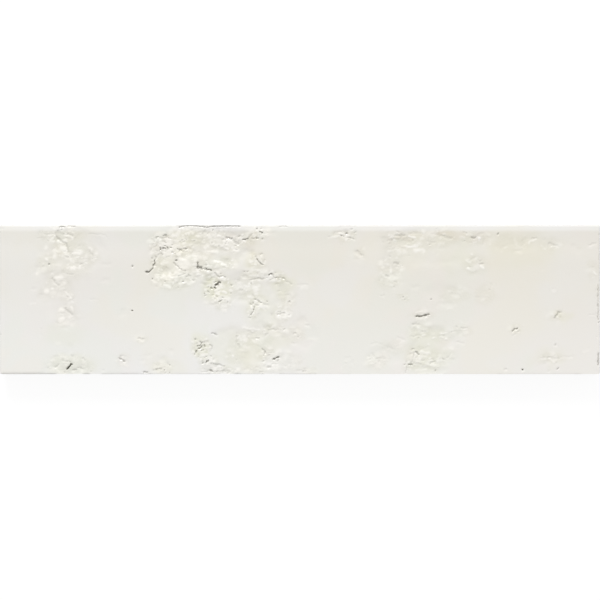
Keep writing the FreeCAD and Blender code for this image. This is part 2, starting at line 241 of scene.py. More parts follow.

# Marks struck into the face: depth, half width, how dark the mark is painted (painted shade and
# grime in the crack), and x and y of each point that it runs through
STRUCK = [
    # Upper left
    (0.25, 0.5, 0.3, -119, 28.5), (0.35, 0.45, 0.6, -96, 29.1, -94.2, 29),
    (0.25, 0.35, 0.4, -93, 29.3, -90, 29.3), (0.15, 0.5, 0.25, -102.5, 26.2, -98, 26.3),
    (0.18, 0.6, 0.2, -97, 27, -96, 26.5, -93.5, 26.1), (0.22, 0.6, 0.3, -93, 26.2, -91, 25.7),
    (0.1, 0.5, 0.15, -84.7, 26.3, -78, 26, -77.5, 25), (0.12, 0.6, 0.15, -105, 24.6, -103, 24.7),
    (0.28, 0.7, 0.4, -97.8, 25.8, -96, 23.6, -93.5, 22.4, -92.9, 20.8, -92.7, 19.2),
    (0.15, 0.5, 0.2, -93.5, 24.7, -91.5, 24.2), (0.12, 0.5, 0.15, -98.2, 20.5),
    (0.2, 0.8, 0.3, -84, 19, -82.5, 17.3), (0.5, 0.6, 0.8, -100.4, 14.3),
    (0.15, 2, 0, -105.3, 12.9, -105.3, 11.6), (0.12, 0.6, 0.1, -90, 14.5, -86, 14.6),
    (0.15, 0.5, 0.2, -94, 10.3, -91, 10), (0.25, 0.8, 0.35, -99, 8.5, -98, 6.8, -96.5, 5.8),
    (0.1, 1, 0.05, -107, 4.4, -106, 4.4), (0.18, 0.6, 0.2, -92.8, 2.6, -90.6, -0.6),
    (0.08, 1.6, 0, -78.5, 8, -77, 8), (0.08, 1, 0, -79.5, 14, -76, 14.2),
    # Lower left
    (0.25, 0.7, 0.35, -94, -3.5, -92.4, -5, -91, -5.8), (0.12, 0.6, 0.1, -96.5, -5.6, -94, -5.3),
    (0.12, 0.7, 0.1, -97.6, -9.2, -95.5, -9.8), (0.1, 0.8, 0.05, -95, -11, -93, -11),
    (0.08, 0.7, 0.05, -103.7, -11.5, -103.7, -14.5), (0.25, 0.5, 0.4, -119.8, -13.8),
    (0.08, 2, 0, -92, -18.5, -92, -20.5), (0.1, 0.6, 0.1, -98.5, -22.7, -95.5, -22.4),
    (0.2, 0.5, 0.35, -94.8, -24.4, -93, -24.8), (0.2, 0.5, 0.3, -97.8, -26.9, -96.4, -26.1),
    (0.85, 0.55, 1.5, -93.3, -27.6, -91.5, -25.9), (0.5, 0.5, 1.2, -92.8, -27.2, -91.8, -26.3),
    (0.25, 0.5, 0.4, -91, -28, -89.6, -28.3), (0.22, 0.5, 0.35, -88.8, -27.3, -86.8, -27.6),
    (0.2, 0.6, 0.3, -87, -23.4, -86, -24.1), (0.12, 0.6, 0.2, -85.2, -27),
    (0.15, 0.7, 0.15, -83, -28), (0.15, 0.7, 0.15, -78.6, -28),
    (0.08, 0.4, 0.1, -84, 0.2, -81, 0.1), (0.1, 2, 0, -71, -4.5, -71, -5.5),
    (0.35, 0.6, 0.55, -72.2, -23.3, -70.8, -24, -70.2, -24.9), (0.6, 0.55, 1, -67.2, -4.3),
    (0.2, 1, 0.15, -64.3, -15.7, -62.7, -15.7), (0.12, 1.5, 0.05, -51.5, -20.5),
    (0.12, 0.8, 0.05, -62.3, -22.4, -59.4, -22.1), (0.08, 1.2, 0, -63.2, -24.3, -62.5, -24.3),
    (0.08, 1.2, 0, -55, -23.5), (0.25, 0.4, 0.5, -56.4, -26), (0.35, 0.5, 0.7, -52.2, -26),
    (0.3, 0.6, 0.5, -57.5, -27.8, -55.5, -27.6), (0.4, 0.6, 0.7, -54.3, -28.2),
    (0.25, 0.5, 0.6, -52.2, -29.1), (0.35, 0.5, 0.6, -62.6, -29.1, -61, -29),
    # Main
    (0.4, 0.4, 0.6, -48.4, 29, -46, 29.5, -41.3, 29.5, -37.3, 28.9, -34.7, 29.4),
    (0.4, 0.4, 0.6, -34.7, 29.4, -29, 29.5, -24, 29.4), (0.45, 0.65, 0.65, -67, 13.5),
    (0.12, 0.9, 0.25, -58.5, 24, -56.5, 24.3), (0.22, 1.1, 0.28, -55.8, 24.7, -53.4, 24.9),
    (0.12, 1.1, 0.15, -53, 25.6), (0.45, 0.55, 0.75, -56.1, 21.2, -55.7, 20),
    (0.4, 0.5, 0.7, -55.1, 20.8), (0.45, 0.5, 0.75, -54.6, 20.7, -53.9, 20.2),
    (0.45, 0.55, 0.75, -53.2, 21.1, -52.7, 20.5), (0.35, 0.5, 0.6, -51.7, 20.7),
    (0.12, 0.8, 0.22, -56.3, 18.3, -59.2, 16.5), (0.25, 0.5, 0.4, -57.6, 17.2, -58.1, 15.8),
    (0.5, 0.55, 0.7, -58.1, 15.4, -58.6, 13.2), (0.45, 0.5, 0.7, -58.9, 12.5, -59.8, 11.9),
    (0.6, 0.65, 0.9, -60.2, 11.5, -61.3, 11), (0.4, 0.55, 0.6, -59, 8.1),
    (0.25, 3.6, 0, -54, 11.5, -53, 10.5),
    (0.3, 0.5, 0.5, -50.5, 15, -49.5, 13.5, -47.5, 12, -45.7, 11.3),
    (0.25, 0.4, 0.4, -48.5, 9.5, -45.7, 10.5), (0.25, 0.4, 0.5, -44.5, 9.7, -43.8, 9.2),
    (0.5, 0.6, 0.85, -49.5, 15.7), (0.4, 0.6, 0.6, -48.9, 20.3, -47.6, 20),
    (0.3, 0.5, 0.5, -46.8, 20.6, -45.9, 20.2), (0.2, 0.5, 0.3, -48.5, 19.4, -45.2, 19.3),
    (0.5, 0.6, 0.7, -40.9, 14.9, -41, 13.6), (0.62, 0.9, 0.8, -41.2, 13.3, -39.6, 12.8),
    (0.38, 0.6, 0.5, -39, 12.3, -37.5, 12.1), (0.5, 0.6, 0.7, -37.3, 12.4, -35.6, 11.8),
    (0.35, 0.55, 0.5, -34.2, 10.9, -32.7, 9.3, -30, 9), (0.85, 0.85, 1.5, -33.5, 6, -33.1, 6.3),
    (0.6, 0.55, 0.9, -32.7, 7.1, -32, 6.8), (0.35, 0.5, 0.6, -33.9, 5.3, -34.2, 5),
    (0.5, 0.5, 0.8, -34.6, 5.1, -34, 4.6), (0.45, 0.5, 0.7, -35.5, 4.7),
    (0.35, 0.5, 0.55, -36.8, 3.4, -36.4, 3), (0.35, 0.5, 0.55, -38.2, 1.6, -37.6, 1.9),
    (0.3, 0.5, 0.5, -33.6, 1.4, -32.9, 1.1), (0.45, 0.5, 0.7, -34, 4.5),
    (0.4, 0.5, 0.6, -38.3, 2.4), (0.4, 0.6, 0.55, -32.4, -0.6, -31.4, -0.1),
    (0.4, 0.8, 0.5, -29.6, 24.7, -27.3, 24.5), (0.3, 0.8, 0.4, -27.3, 24.2, -24.7, 22.3),
    (0.35, 0.5, 0.6, -34.9, 27.9), (0.15, 0.5, 0.2, -40, 26.5, -37.5, 26.8),
    (0.12, 0.7, 0.15, -39, 24), (0.12, 0.7, 0.15, -41.7, 17.8),
    (0.2, 2, 0.15, -22, 19.6, -19.5, 19.2), (0.45, 0.5, 0.8, -22.6, 24.1, -21.1, 24.4),
    (0.2, 0.5, 0.4, -21, 24.6, -20, 25.3, -19.3, 26), (0.5, 0.45, 0.7, -17.2, 28.3),
    (0.55, 0.5, 0.8, -16.2, 27.4, -15, 26.8), (0.3, 0.4, 0.5, -15.8, 25.6),
    (0.25, 0.45, 0.45, -17.8, 17.4, -17.2, 16),
    (0.38, 0.48, 0.65, -17.2, 16, -16, 14.8, -14.6, 13.9), (0.3, 0.4, 0.6, -22.3, 11.4),
    (0.25, 0.6, 0.35, -19.5, 8.1, -16, 8.4, -13, 8.6), (0.6, 0.65, 0.95, -12.1, 10, -11.4, 10.2),
    (0.35, 0.5, 0.5, -11.2, 9.8, -10.3, 9, -9.6, 8.8),
    (0.28, 0.6, 0.4, -9.4, 8.8, -8, 9, -6.7, 8.6),
    (0.25, 0.6, 0.35, -6.8, 8.5, -5, 7.2, -3.4, 6.3), (0.2, 0.6, 0.2, -9.6, 6.5, -8.4, 6.5),
    (0.3, 0.5, 0.5, -19.6, 6.4), (0.15, 0.6, 0.2, -22.2, 5),
    (0.32, 0.6, 0.5, -18, 0.4, -16.5, -0.6, -15.4, -1.2),
    (0.35, 0.45, 0.6, -18.9, -1.2, -18.8, -1.8), (0.4, 0.4, 0.6, -18.2, -3, -18.6, -4.4),
    (0.35, 0.4, 0.55, -18.9, -4.9, -19.8, -6), (0.15, 2.5, 0.05, -7.5, 5.5, -7.5, 3),
    (0.15, 0.7, 0.15, -8, 3.4), (0.15, 0.6, 0.15, -4.6, 2), (0.1, 0.7, 0.1, -1, 6, 3, 6.1),
    (0.28, 0.6, 0.4, -8.7, -6, -7.3, -5.5, -6, -5.3), (0.35, 0.6, 0.5, -4.6, -0.9, -4.1, -0.9),
    (0.15, 0.5, 0.15, -5.2, -3.8, -3, -4.8), (0.15, 0.7, 0.1, -14.5, -2.6, -13.9, -3.8),
    (0.15, 2.5, 0.05, -16.5, -6.5, -16, -8.5),
    # Lower middle
    (0.35, 0.5, 0.5, -35.3, -13.3, -33.5, -14),
    (0.4, 0.5, 0.6, -40, -16.9, -39.2, -17.3, -38.6, -17),
    (0.4, 0.45, 0.6, -39.4, -17.4, -40.1, -18.4, -41, -18.5),
    (0.45, 0.5, 0.7, -40.6, -19.4, -39.8, -19.4, -39.3, -18.8),
    (0.4, 0.45, 0.6, -38.4, -18.2, -37.9, -18.7), (0.4, 0.45, 0.6, -39.4, -20.4, -38.7, -20.1),
    (0.4, 0.45, 0.65, -41.8, -21.1, -41.3, -20.5), (0.3, 0.4, 0.6, -42.4, -19.6),
    (0.2, 0.4, 0.4, -40.4, -22.1), (0.3, 0.35, 0.5, -36.3, -18.2, -35.4, -18.5, -35.2, -19.4),
    (0.15, 0.4, 0.2, -36.6, -21.5, -35.8, -23.8), (0.25, 0.4, 0.5, -39.9, -23.7),
    (0.4, 0.6, 0.7, -39, -25.2), (0.45, 0.6, 0.8, -37.6, -25, -36.8, -24.6),
    (0.25, 0.5, 0.45, -35.6, -25.5, -33, -25.7, -30.5, -26.6),
    (0.4, 0.6, 0.7, -35.9, -28.3, -34.9, -28.7),
    (0.2, 0.5, 0.4, -33.5, -28.7, -31, -28.5, -28, -28.7), (0.2, 0.4, 0.4, -39.5, -29, -37, -28.6),
    (0.3, 0.7, 0.28, -25.2, -14.8, -25.2, -17, -24, -19.4), (0.15, 0.5, 0.2, -25.5, -23.9),
    (0.2, 0.5, 0.35, -12.8, -12, -10, -12.1, -7.6, -12), (0.15, 2.2, 0, 0.5, -8, 1.5, -8),
    (0.15, 0.7, 0.1, 2.8, -10.1, 3.4, -10.3), (0.1, 0.8, 0, -3, -7, -3, -9),
    (0.22, 0.55, 0.3, -2.5, -13.7, -1.8, -13.6), (0.15, 0.5, 0.15, -1.8, -13.7, -0.3, -14.3),
    (0.12, 0.7, 0.05, -3, -17.4, -2, -17.4), (0.15, 0.5, 0.15, -21, -12.8, -19, -13.3),
    (0.12, 0.5, 0.1, -21.3, -14, -21, -15.5), (0.3, 0.6, 0.5, -17.5, -15.2, -16.4, -15.6),
    (0.2, 0.5, 0.3, -14, -14.6, -13, -13.8), (0.32, 0.6, 0.5, -14.9, -19.6, -14, -20.6),
    (0.28, 0.55, 0.45, -13.9, -20.9, -14.6, -22.2), (0.2, 0.5, 0.35, -13.7, -21.5, -11.5, -21.2),
    (0.6, 0.65, 0.9, -10.5, -23.8, -8.4, -22.9), (0.2, 0.5, 0.25, -11, -25.8, -8.5, -25.6),
    (0.3, 0.6, 0.4, -12.8, -27, -11.7, -26.8), (0.12, 0.6, 0.15, -17.5, -26.9, -16, -26.9),
    (0.2, 0.4, 0.4, -16.3, -29.1, -14.8, -28.8), (0.15, 0.5, 0.2, -3.6, -26.9),
    (0.15, 0.5, 0.2, -3.2, -24.3), (0.3, 0.5, 0.5, 1.3, -28.6),
    (0.1, 0.6, 0.1, 1.5, -27.7, 3, -27.5), (0.12, 0.6, 0.1, 21.2, -24.2, 21.2, -25.4),
    (0.1, 0.7, 0.05, 18.3, -23.4, 19.8, -23.2), (0.1, 0.6, 0.1, 18.3, -25.6),
    # Upper right
    (0.15, 0.8, 0.05, -13, 26.8, -10, 26.7), (0.2, 0.35, 0.35, -8.2, 29.3, -5.2, 29.3),
    (0.08, 0.35, 0.15, 16, 29.4, 22, 29.4), (0.08, 0.35, 0.15, 88, 29.4, 92, 29.4),
    (0.15, 1, 0.15, 14, 26.7, 17, 27.4), (0.38, 0.6, 0.7, 18.3, 26.6, 18.9, 26.5),
    (0.3, 0.4, 0.6, 16.3, 25.7, 17.3, 25.3), (0.3, 0.5, 0.45, 19.3, 25, 21.3, 24.3),
    (0.15, 0.5, 0.15, 11.2, 25.3, 12.2, 25.3), (0.3, 1.4, 0.15, 22.8, 19.5, 24.6, 17.6),
    (0.18, 0.7, 0.22, 35.2, 23.6, 37.5, 24.3), (0.24, 0.8, 0.35, 38.5, 25.9, 41.5, 25.5),
    (0.2, 3, 0.05, 37.5, 23, 42, 23.5), (0.12, 0.5, 0.15, 42, 20, 43, 19.4),
    (0.12, 0.6, 0.15, 43.5, 17.5), (0.12, 0.7, 0.15, 47, 26.8, 49, 26.4),
    (0.12, 0.6, 0.1, 43.5, 26.5, 46, 26.6), (0.15, 0.7, 0.2, 50.8, 23.4, 52, 23, 54, 23),
    (0.16, 1, 0.22, 55.5, 26, 58, 25.2, 60.4, 24.5), (0.2, 0.4, 0.35, 54.7, 28.3),
    (0.2, 0.4, 0.35, 55.7, 26.8), (0.12, 0.8, 0.1, 56.4, 20.6, 57.2, 20.6),
    (0.2, 0.4, 0.35, 65.5, 26.8, 67, 26.8), (0.3, 0.8, 0.55, 68.7, 25, 70.3, 24.9),
    (0.12, 0.8, 0.15, 71, 25.6, 72.3, 26.4, 73.5, 26.5), (0.08, 0.7, 0.06, 65, 23.2, 69, 23),
    (0.08, 0.7, 0, 54.8, 21.5, 54.8, 18.5), (0.12, 0.8, 0.05, 32.3, 16.2, 34, 15.8),
    (0.24, 0.8, 0.4, 37.8, 14.6, 39.4, 14.4), (0.12, 0.6, 0.05, 32.3, 12, 33, 10.5),
    (0.24, 0.9, 0.4, 34.4, 9.8, 35.3, 9.5), (0.1, 0.6, 0.05, 32.7, 8.6, 32.3, 7.4),
    (0.2, 0.6, 0.25, 38, 7.2, 38.7, 7.1), (0.12, 0.9, 0.08, 45, 5, 47.5, 5.3),
    (0.15, 0.6, 0.15, 32.2, 1.6, 33.8, 1.6), (0.35, 0.5, 0.6, 41.3, 1.3),
    (0.15, 0.4, 0.2, 42.4, 0.1), (0.35, 0.5, 0.7, 52.4, 0.1),
    (0.12, 0.9, 0.12, 60.5, 2.2, 63, 1.9), (0.12, 0.6, 0.05, 56.8, 1.2, 56.8, 0.2),
    (0.15, 0.8, 0.1, 67.8, 15.7, 70, 17), (0.24, 0.8, 0.4, 72, 14.4, 73, 14.5),
    (0.2, 0.5, 0.15, 67.6, 13, 68.6, 13), (0.4, 0.6, 0.6, 79.2, 26.3),
    (0.15, 0.7, 0.1, 73.7, 24, 73.5, 22.3), (0.1, 0.6, 0.1, 75.7, 24.6),
    (0.07, 0.9, 0.05, 80.3, 20, 81, 21.3, 83, 22), (0.1, 1, 0.05, 86, 19.6, 88, 19.3),
    (0.06, 0.6, 0.05, 85.2, 22.6, 86, 20.5), (0.15, 1.8, 0.05, 90, 24.5, 89.5, 22.5),
    (0.2, 0.5, 0.35, 92.8, 24.6, 94.5, 24.7), (0.2, 1.2, 0.15, 100, 22.3, 102.2, 21.6),
    (0.1, 2.2, 0, 109.5, 21.5, 111, 19.8), (0.18, 0.6, 0.15, 116, 22, 118.3, 22.5),
    (0.1, 0.6, 0.1, 116, 13, 117.6, 12.9), (0.06, 0.6, 0.05, 100.5, 4.4, 101.6, 4.4),
    (0.15, 0.7, 0.1, 76.4, 6.4, 76.6, 5), (0.12, 0.45, 0.15, 75.4, 4, 76.6, 3.9),
    (0.08, 0.6, 0.08, 70.5, 1.2, 75, 0.7), (0.2, 0.4, 0.3, 119.7, 26.3, 119.7, 25.7),
    (0.2, 0.4, 0.3, 119.7, 18.3, 119.7, 16),
    # Lower right
    (0.65, 0.6, 0.8, 46.5, -6.5, 48.2, -6.7, 50, -6.2, 51.7, -5.6),
    (0.2, 1.2, 0.1, 45, -9.8, 47.3, -9.8), (0.1, 1, 0.05, 46, -11.6, 46, -12.6),
    (0.2, 0.8, 0.2, 48.7, -12.9, 50, -13), (0.2, 0.6, 0.15, 44.5, -14.7, 48, -14.3),
    (0.15, 0.4, 0.15, 55.8, -14.5, 58, -14.5), (0.12, 0.5, 0.1, 56, -15.9, 57.3, -15.9),
    (0.2, 0.4, 0.25, 64.5, -11.3, 67, -11.4), (0.15, 0.5, 0.1, 61, -12.7, 64, -12.6),
    (0.15, 0.7, 0.1, 62.7, -16.8, 65.5, -17.4), (0.15, 0.7, 0.1, 39, -15, 41.5, -16),
    (0.1, 0.6, 0.05, 28.5, -17.7, 30, -17.4, 32.5, -17.7), (0.2, 0.8, 0.15, 35.3, -19, 37, -19.4),
    (0.2, 0.6, 0.15, 28.7, -21.3, 29.5, -22.4), (0.15, 0.4, 0.15, 30, -23.6, 34, -23.7),
    (0.2, 0.4, 0.3, 31.6, -24.8), (0.2, 0.4, 0.3, 30.3, -25.7),
    (0.1, 0.6, 0.05, 48.3, -19.9, 51, -19), (0.42, 0.7, 0.6, 46.4, -21, 47.4, -22),
    (0.22, 0.5, 0.35, 45.5, -21.4, 45.5, -23, 44.9, -24.4, 44.4, -25.4),
    (0.42, 0.7, 0.6, 43.4, -26.1, 44.9, -25.7), (0.15, 0.6, 0.2, 45.5, -25.3, 48.5, -25.9),
    (0.22, 0.7, 0.35, 51.8, -25.5, 54.3, -24.7), (0.15, 0.5, 0.2, 54.8, -23.2),
    (0.2, 0.6, 0.15, 59, -23.2, 60.3, -22), (0.35, 0.45, 0.6, 54, -28.5),
    (0.15, 0.4, 0.3, 55.2, -27.6), (0.2, 0.4, 0.3, 42.3, -29.3, 42.8, -27),
    (0.08, 2, 0, 55.5, -1.7, 61, -1.5),
    (0.28, 0.8, 0.5, 104.2, -5, 103.4, -5, 102.6, -6, 102.1, -7),
    (0.1, 0.6, 0.05, 102.5, -8.3, 103.5, -8.2),
    (0.4, 0.5, 0.65, 85, -12.6, 85.7, -11.9, 87, -11.6), (0.12, 0.5, 0.15, 85, -14.4, 86.2, -13.8),
    (0.22, 0.7, 0.4, 102.3, -18), (0.08, 0.8, 0, 101, -16.5),
    (0.15, 0.7, 0.25, 96.5, -23.4, 99.5, -23.1),
    (0.15, 0.7, 0.2, 99.5, -23.1, 101.5, -23.4, 103.7, -23.4),
    (0.08, 0.5, 0.05, 104, -22.8, 109, -22.8), (0.2, 0.5, 0.3, 81.6, -27.8, 82.6, -27.8),
    (0.7, 0.65, 1.1, 89.1, -27.8), (0.35, 0.5, 0.6, 103.1, -27.6), (0.15, 0.6, 0.15, 99.5, -28.6),
    (0.1, 0.4, 0.1, 115.5, -6, 118, -6.2), (0.28, 0.4, 0.5, 119.3, 6, 119.3, -8),
    (0.35, 0.4, 0.6, 119.4, -21.2, 119.3, -26), (0.3, 0.4, 0.6, 119.7, -8.9),
    (0.2, 0.5, 0.3, 118.5, -14.8),
]

# Places that stand proud of the face: height, half width, and x and y of each point
PROUD = [
    # Upper left
    (0.05, 0.5, -84, 27.2, -78, 27), (0.32, 1.7, -95.4, 20.6, -93.9, 19.4),
    (0.22, 1.1, -101.5, 20.8), (0.28, 1.2, -101.4, 16.2), (0.28, 1.5, -98.2, 17.1),
    (0.12, 0.5, -97, 28.5), (0.28, 0.9, -99.3, 24.4, -97.8, 25.8),
    (0.3, 0.6, -89.5, 19.6, -88, 19.6), (0.3, 0.6, -89.7, 18.2, -88.2, 18.2),
    (0.3, 0.6, -89.5, 16.8, -88.5, 16.9), (0.1, 0.6, -86.5, 19), (0.26, 1.1, -83.2, 20),
    (0.22, 1.1, -81.4, 18.4), (0.34, 1.2, -91.3, 12.2, -90.2, 12.5), (0.3, 1, -88.2, 13.2),
    (0.26, 0.8, -85.8, 14.3), (0.26, 1.1, -91.4, 15.9), (0.32, 1.8, -97.4, 8.3, -95.4, 8.6),
    (0.34, 0.9, -105, 10.3), (0.34, 1.7, -101.2, 3.3), (0.28, 1.2, -99.2, 4.4),
    (0.12, 0.8, -97.3, 4.5), (0.12, 0.9, -99, 0.8), (0.28, 0.7, -93.6, 2.8, -91.6, 0.6),
    # Lower left
    (0.1, 0.8, -108, -1.8, -106, -1.8), (0.3, 1.1, -96.2, -4.3, -94.9, -4),
    (0.12, 0.8, -92.6, -1.5, -92.6, -2.6), (0.28, 0.7, -91.6, -3, -91, -4.6),
    (0.34, 1.3, -95.8, -8.1, -94.8, -7.7), (0.28, 1.1, -92.2, -7.3),
    (0.12, 1.2, -97.5, -17.7, -96.2, -17.7), (0.12, 0.6, -92.5, -22.6, -91.5, -22.6),
    (0.12, 0.8, -99.2, -24.3, -97.8, -24.4), (0.2, 0.8, -94.6, -27, -93.4, -26),
    (0.15, 0.6, -91, -27, -90.6, -26.6), (0.15, 0.7, -86.8, -22.7), (0.12, 0.7, -85.3, -25.4),
    (0.25, 0.6, -71.6, -22.6, -70.8, -22.9), (0.2, 0.7, -70.2, -26.3, -69, -26.9),
    (0.1, 0.9, -64, -17, -62.8, -17), (0.1, 0.8, -52.5, -24, -51.3, -24),
    # Main
    (0.2, 0.9, -56, 22.2, -51, 22.4), (0.32, 1, -56.8, 7.6), (0.36, 1.1, -54.2, 5.5, -52.2, 5.2),
    (0.3, 1, -50.8, 6.6), (0.34, 1, -48.2, 6.2, -46.4, 6.6), (0.34, 1.2, -40.6, 9.7, -39, 9.2),
    (0.22, 3, -47, 14.8, -45.4, 14), (0.4, 1.2, -47.8, 16, -45.6, 15.4), (0.3, 0.8, -36, 25.3),
    (0.3, 0.7, -47, 27.8), (0.32, 0.8, -44.4, 25.8), (0.3, 0.8, -33, 25.6, -32, 25.2),
    (0.34, 0.8, -34.6, 15.4, -31.8, 15.1), (0.36, 1, -31.2, 14, -29.6, 13.7),
    (0.34, 0.8, -30.4, 20.9, -28.9, 20.5), (0.32, 0.8, -27, 20.9), (0.2, 0.6, -19.3, 27.5),
    (0.2, 0.5, -17.3, 27.1), (0.15, 0.5, -15, 27.9), (0.2, 0.5, -14.8, 25.3),
    (0.15, 0.4, -17.2, 17.6, -16.5, 17.5), (0.2, 0.6, -17.8, 11.9, -14, 12.3),
    (0.15, 0.6, -21.5, 11.2, -19.5, 11.4), (0.24, 0.6, -20, 9.8, -16.6, 9.6),
    (0.15, 0.6, -9.7, 7.5, -8, 7.8), (0.15, 0.7, -23, 8.6, -22, 8.6), (0.2, 0.7, -19.2, 7.3),
    (0.2, 0.5, -17.5, 1.2), (0.1, 1, 0.5, 4.7, 2.5, 4.7), (0.15, 0.9, -38, -0.9, -37, -0.9),
    (0.15, 0.9, -35, -1.3, -34.4, -1.4), (0.25, 0.9, -31, -4.4, -29.6, -4.5),
    (0.15, 0.4, -26, 0, -27, -1.2), (0.2, 0.5, -20.6, -5.2), (0.2, 0.8, -8.6, -7.7, -6.5, -6.9),
    (0.2, 0.8, -8.5, -3.1, -7.2, -2.4), (0.2, 0.6, -13.5, -2.5, -12.7, -3.8),
    # Lower middle
    (0.3, 0.5, -42.9, -20.4), (0.3, 0.5, -41.7, -22.4), (0.3, 0.5, -38.5, -22, -37, -22),
    (0.3, 0.4, -36, -20), (0.25, 0.7, -37.5, -27.5, -33, -27.1, -31, -27.4),
    (0.25, 0.5, -29, -27.6, -28.2, -27.5), (0.45, 0.75, -26.6, -22.9),
    (0.2, 1.2, -24, -15.2, -23.5, -16.2), (0.15, 1.2, -28.5, -20.7, -27.5, -20.7),
    (0.26, 0.6, -22.5, -11.4, -16.5, -12), (0.25, 0.6, -7.5, -12.5),
    (0.2, 0.8, -19.2, -16.2, -18, -17.2), (0.24, 1.9, -22.6, -15, -22.2, -16.2),
    (0.15, 0.5, -14.2, -13.6, -13.8, -13.3), (0.15, 0.7, -13.4, -11.1, -12.8, -11.1),
    (0.1, 0.7, 2.2, -11.1, 4.2, -11.2), (0.12, 1, 3.5, -15.8, 6.5, -15.9),
    (0.25, 0.7, -14, -24, -14.1, -25.6), (0.25, 0.5, -9.8, -22, -9.2, -21.9),
    (0.2, 0.6, -8.8, -24.4, -8, -24.2), (0.15, 0.8, -9.6, -27.6, -8.4, -27.6),
    (0.15, 0.5, -4.6, -26.9), (0.15, 0.6, -3.2, -25.5), (0.12, 1, -6, -21, -4, -20.8),
    (0.12, 0.5, 16.5, -27.2, 16.5, -28.4), (0.12, 0.6, 17.6, -24.6, 18.5, -24.6),
    # Upper right
    (0.2, 0.7, 12.8, 24.9, 16, 25.2), (0.15, 0.5, 18.2, 25.4), (0.15, 0.5, 19.6, 27.2, 20.6, 27.3),
    (0.26, 0.7, 43.6, 25.4, 46, 25), (0.24, 1, 43, 21.2, 47, 21.4),
    (0.22, 1.5, 46, 19.8, 49.5, 19.4), (0.12, 0.7, 35.2, 19.5, 37, 19.4), (0.12, 0.5, 47.3, 27.5),
    (0.12, 0.5, 50.9, 24.8, 50.9, 24.2), (0.12, 0.8, 56.5, 27, 59, 28),
    (0.12, 0.7, 56.5, 22.4, 57.6, 22.4), (0.6, 0.9, 71.6, 24.4), (0.12, 0.5, 68, 25.8, 69, 25.8),
    (0.18, 1, 32.3, 14, 35, 14.1), (0.15, 0.5, 38.6, 12.5, 39.6, 12.5),
    (0.12, 0.6, 41.7, 13.6, 41.7, 12.4), (0.26, 0.9, 36.6, 12.2, 36.6, 11), (0.28, 0.7, 39.5, 6.8),
    (0.12, 0.6, 32.6, 2.6), (0.15, 0.5, 42.7, 1.2), (0.5, 1.1, 67.5, 12.1), (0.5, 1.1, 73, 12.7),
    (0.12, 0.4, 75.4, 27.4), (0.1, 0.6, 75.5, 22.5, 76.5, 22.5), (0.1, 0.7, 82, 20.6, 82.8, 20.8),
    (0.08, 1.1, 86, 24, 86.6, 21.5), (0.25, 0.45, 91.5, 22.5, 92.5, 23.4, 94.3, 23.9),
    (0.1, 0.7, 115.3, 20.8, 117, 20.9), (0.2, 0.7, 117.5, 11.4, 118.5, 10.2),
    (0.12, 0.7, 101.2, 3.3, 102, 3.3),
    # Lower right
    (0.2, 0.45, 46.5, -5.1, 50, -5.2), (0.2, 0.5, 46.5, -7.9, 51, -7.3),
    (0.22, 0.7, 47.2, -11, 48, -11), (0.24, 0.7, 49.2, -14.3, 50, -14.3),
    (0.24, 0.8, 56.3, -13.4, 58.7, -13.3), (0.4, 0.9, 58.6, -15.8),
    (0.1, 0.5, 64, -10.5, 66.5, -10.5), (0.1, 0.5, 66, -12.3, 67, -12.3),
    (0.1, 0.8, 40, -17.4, 41, -17.4), (0.3, 0.5, 29.8, -25.3, 30.8, -24.8),
    (0.25, 0.7, 27.5, -26, 29.3, -25.8), (0.12, 0.7, 31.5, -26.4, 32.5, -25.8),
    (0.36, 0.9, 51.5, -17.9), (0.26, 0.6, 53.2, -15.7, 53.8, -15.4),
    (0.2, 0.4, 44.8, -20.9, 44.7, -22.2), (0.2, 0.4, 44.4, -24.8),
    (0.36, 1.3, 48.8, -20.9, 50.8, -21.5), (0.28, 0.9, 46.6, -24, 48.2, -24.2),
    (0.3, 0.7, 51.8, -24.7, 52.6, -24.5), (0.36, 0.7, 54.9, -24.6, 55.9, -23.5),
    (0.12, 0.6, 55.6, -22.6, 56.4, -22.6), (0.2, 0.35, 53.2, -28, 53.2, -28.9),
    (0.15, 0.4, 55.2, -28.7), (0.3, 0.6, 46.5, -28.5, 50.5, -28.1),
    (0.15, 0.7, 59.2, -3.7, 60.4, -3.7), (0.2, 0.6, 103, -7.3), (0.12, 0.5, 104.5, -5.2),
    (0.3, 0.5, 86.3, -12.8, 86.8, -12.7), (0.25, 0.7, 100.4, -23.8, 101.6, -25.2),
    (0.1, 0.5, 104, -23.9, 109, -23.8), (0.15, 0.4, 80.8, -27.6, 80.8, -28.4),
    (0.15, 0.4, 82.5, -28.9), (0.2, 0.4, 88.3, -27.9), (0.15, 0.8, 113.8, -21, 115.3, -20.2),
]

# Glaze near the lower and the upper edge, on the rim and on proud places, where it is paler with a
# painted highlight, and what tints it
LOWER_GLAZE = (0.82, 0.805, 0.772, 1)
UPPER_GLAZE = (0.765, 0.742, 0.69, 1)
RIM_GLAZE = (0.80, 0.79, 0.765, 1)
PALE_GLAZE_AND_HIGHLIGHT = (0.885, 0.866, 0.820, 1)
COOL_END = (0.99, 1.0, 1.02, 1)
POOLED_TINT = (0.965, 0.968, 0.895, 1)
FLUSHED_TINT = (0.985, 0.962, 0.95, 1)
CRUMBLED_TINT = (0.945, 0.943, 0.908, 1)
# Painted shade and grime that darken cracks and pits
CREVICE_SHADE_AND_GRIME = (0.16, 0.15, 0.12, 1)
BISCUIT = (0.70, 0.655, 0.57, 1)

# Where those changes start and end, in metres along x and y, and how ragged the rise is
COOL_SPAN = (-0.09, 0.08)
RISE_SPAN = (-0.026, 0.022)
RIM_SPAN = (0.0268, 0.0285)
RISE_RAGGED = 0.006
RISE_NOISE = (30, 2)
RISE_LEVELS = (0.3, 0.7)
# How strongly the painted highlight and paler glaze show on proud places
PALE_AND_HIGHLIGHT_SHARE = 0.85
# Where the painted crevice shade and grime sets in, and how much of it shows
CREVICE_SHADE_AND_GRIME_SPAN = (0.02, 0.9)
CREVICE_SHADE_AND_GRIME_SHARE = 0.82

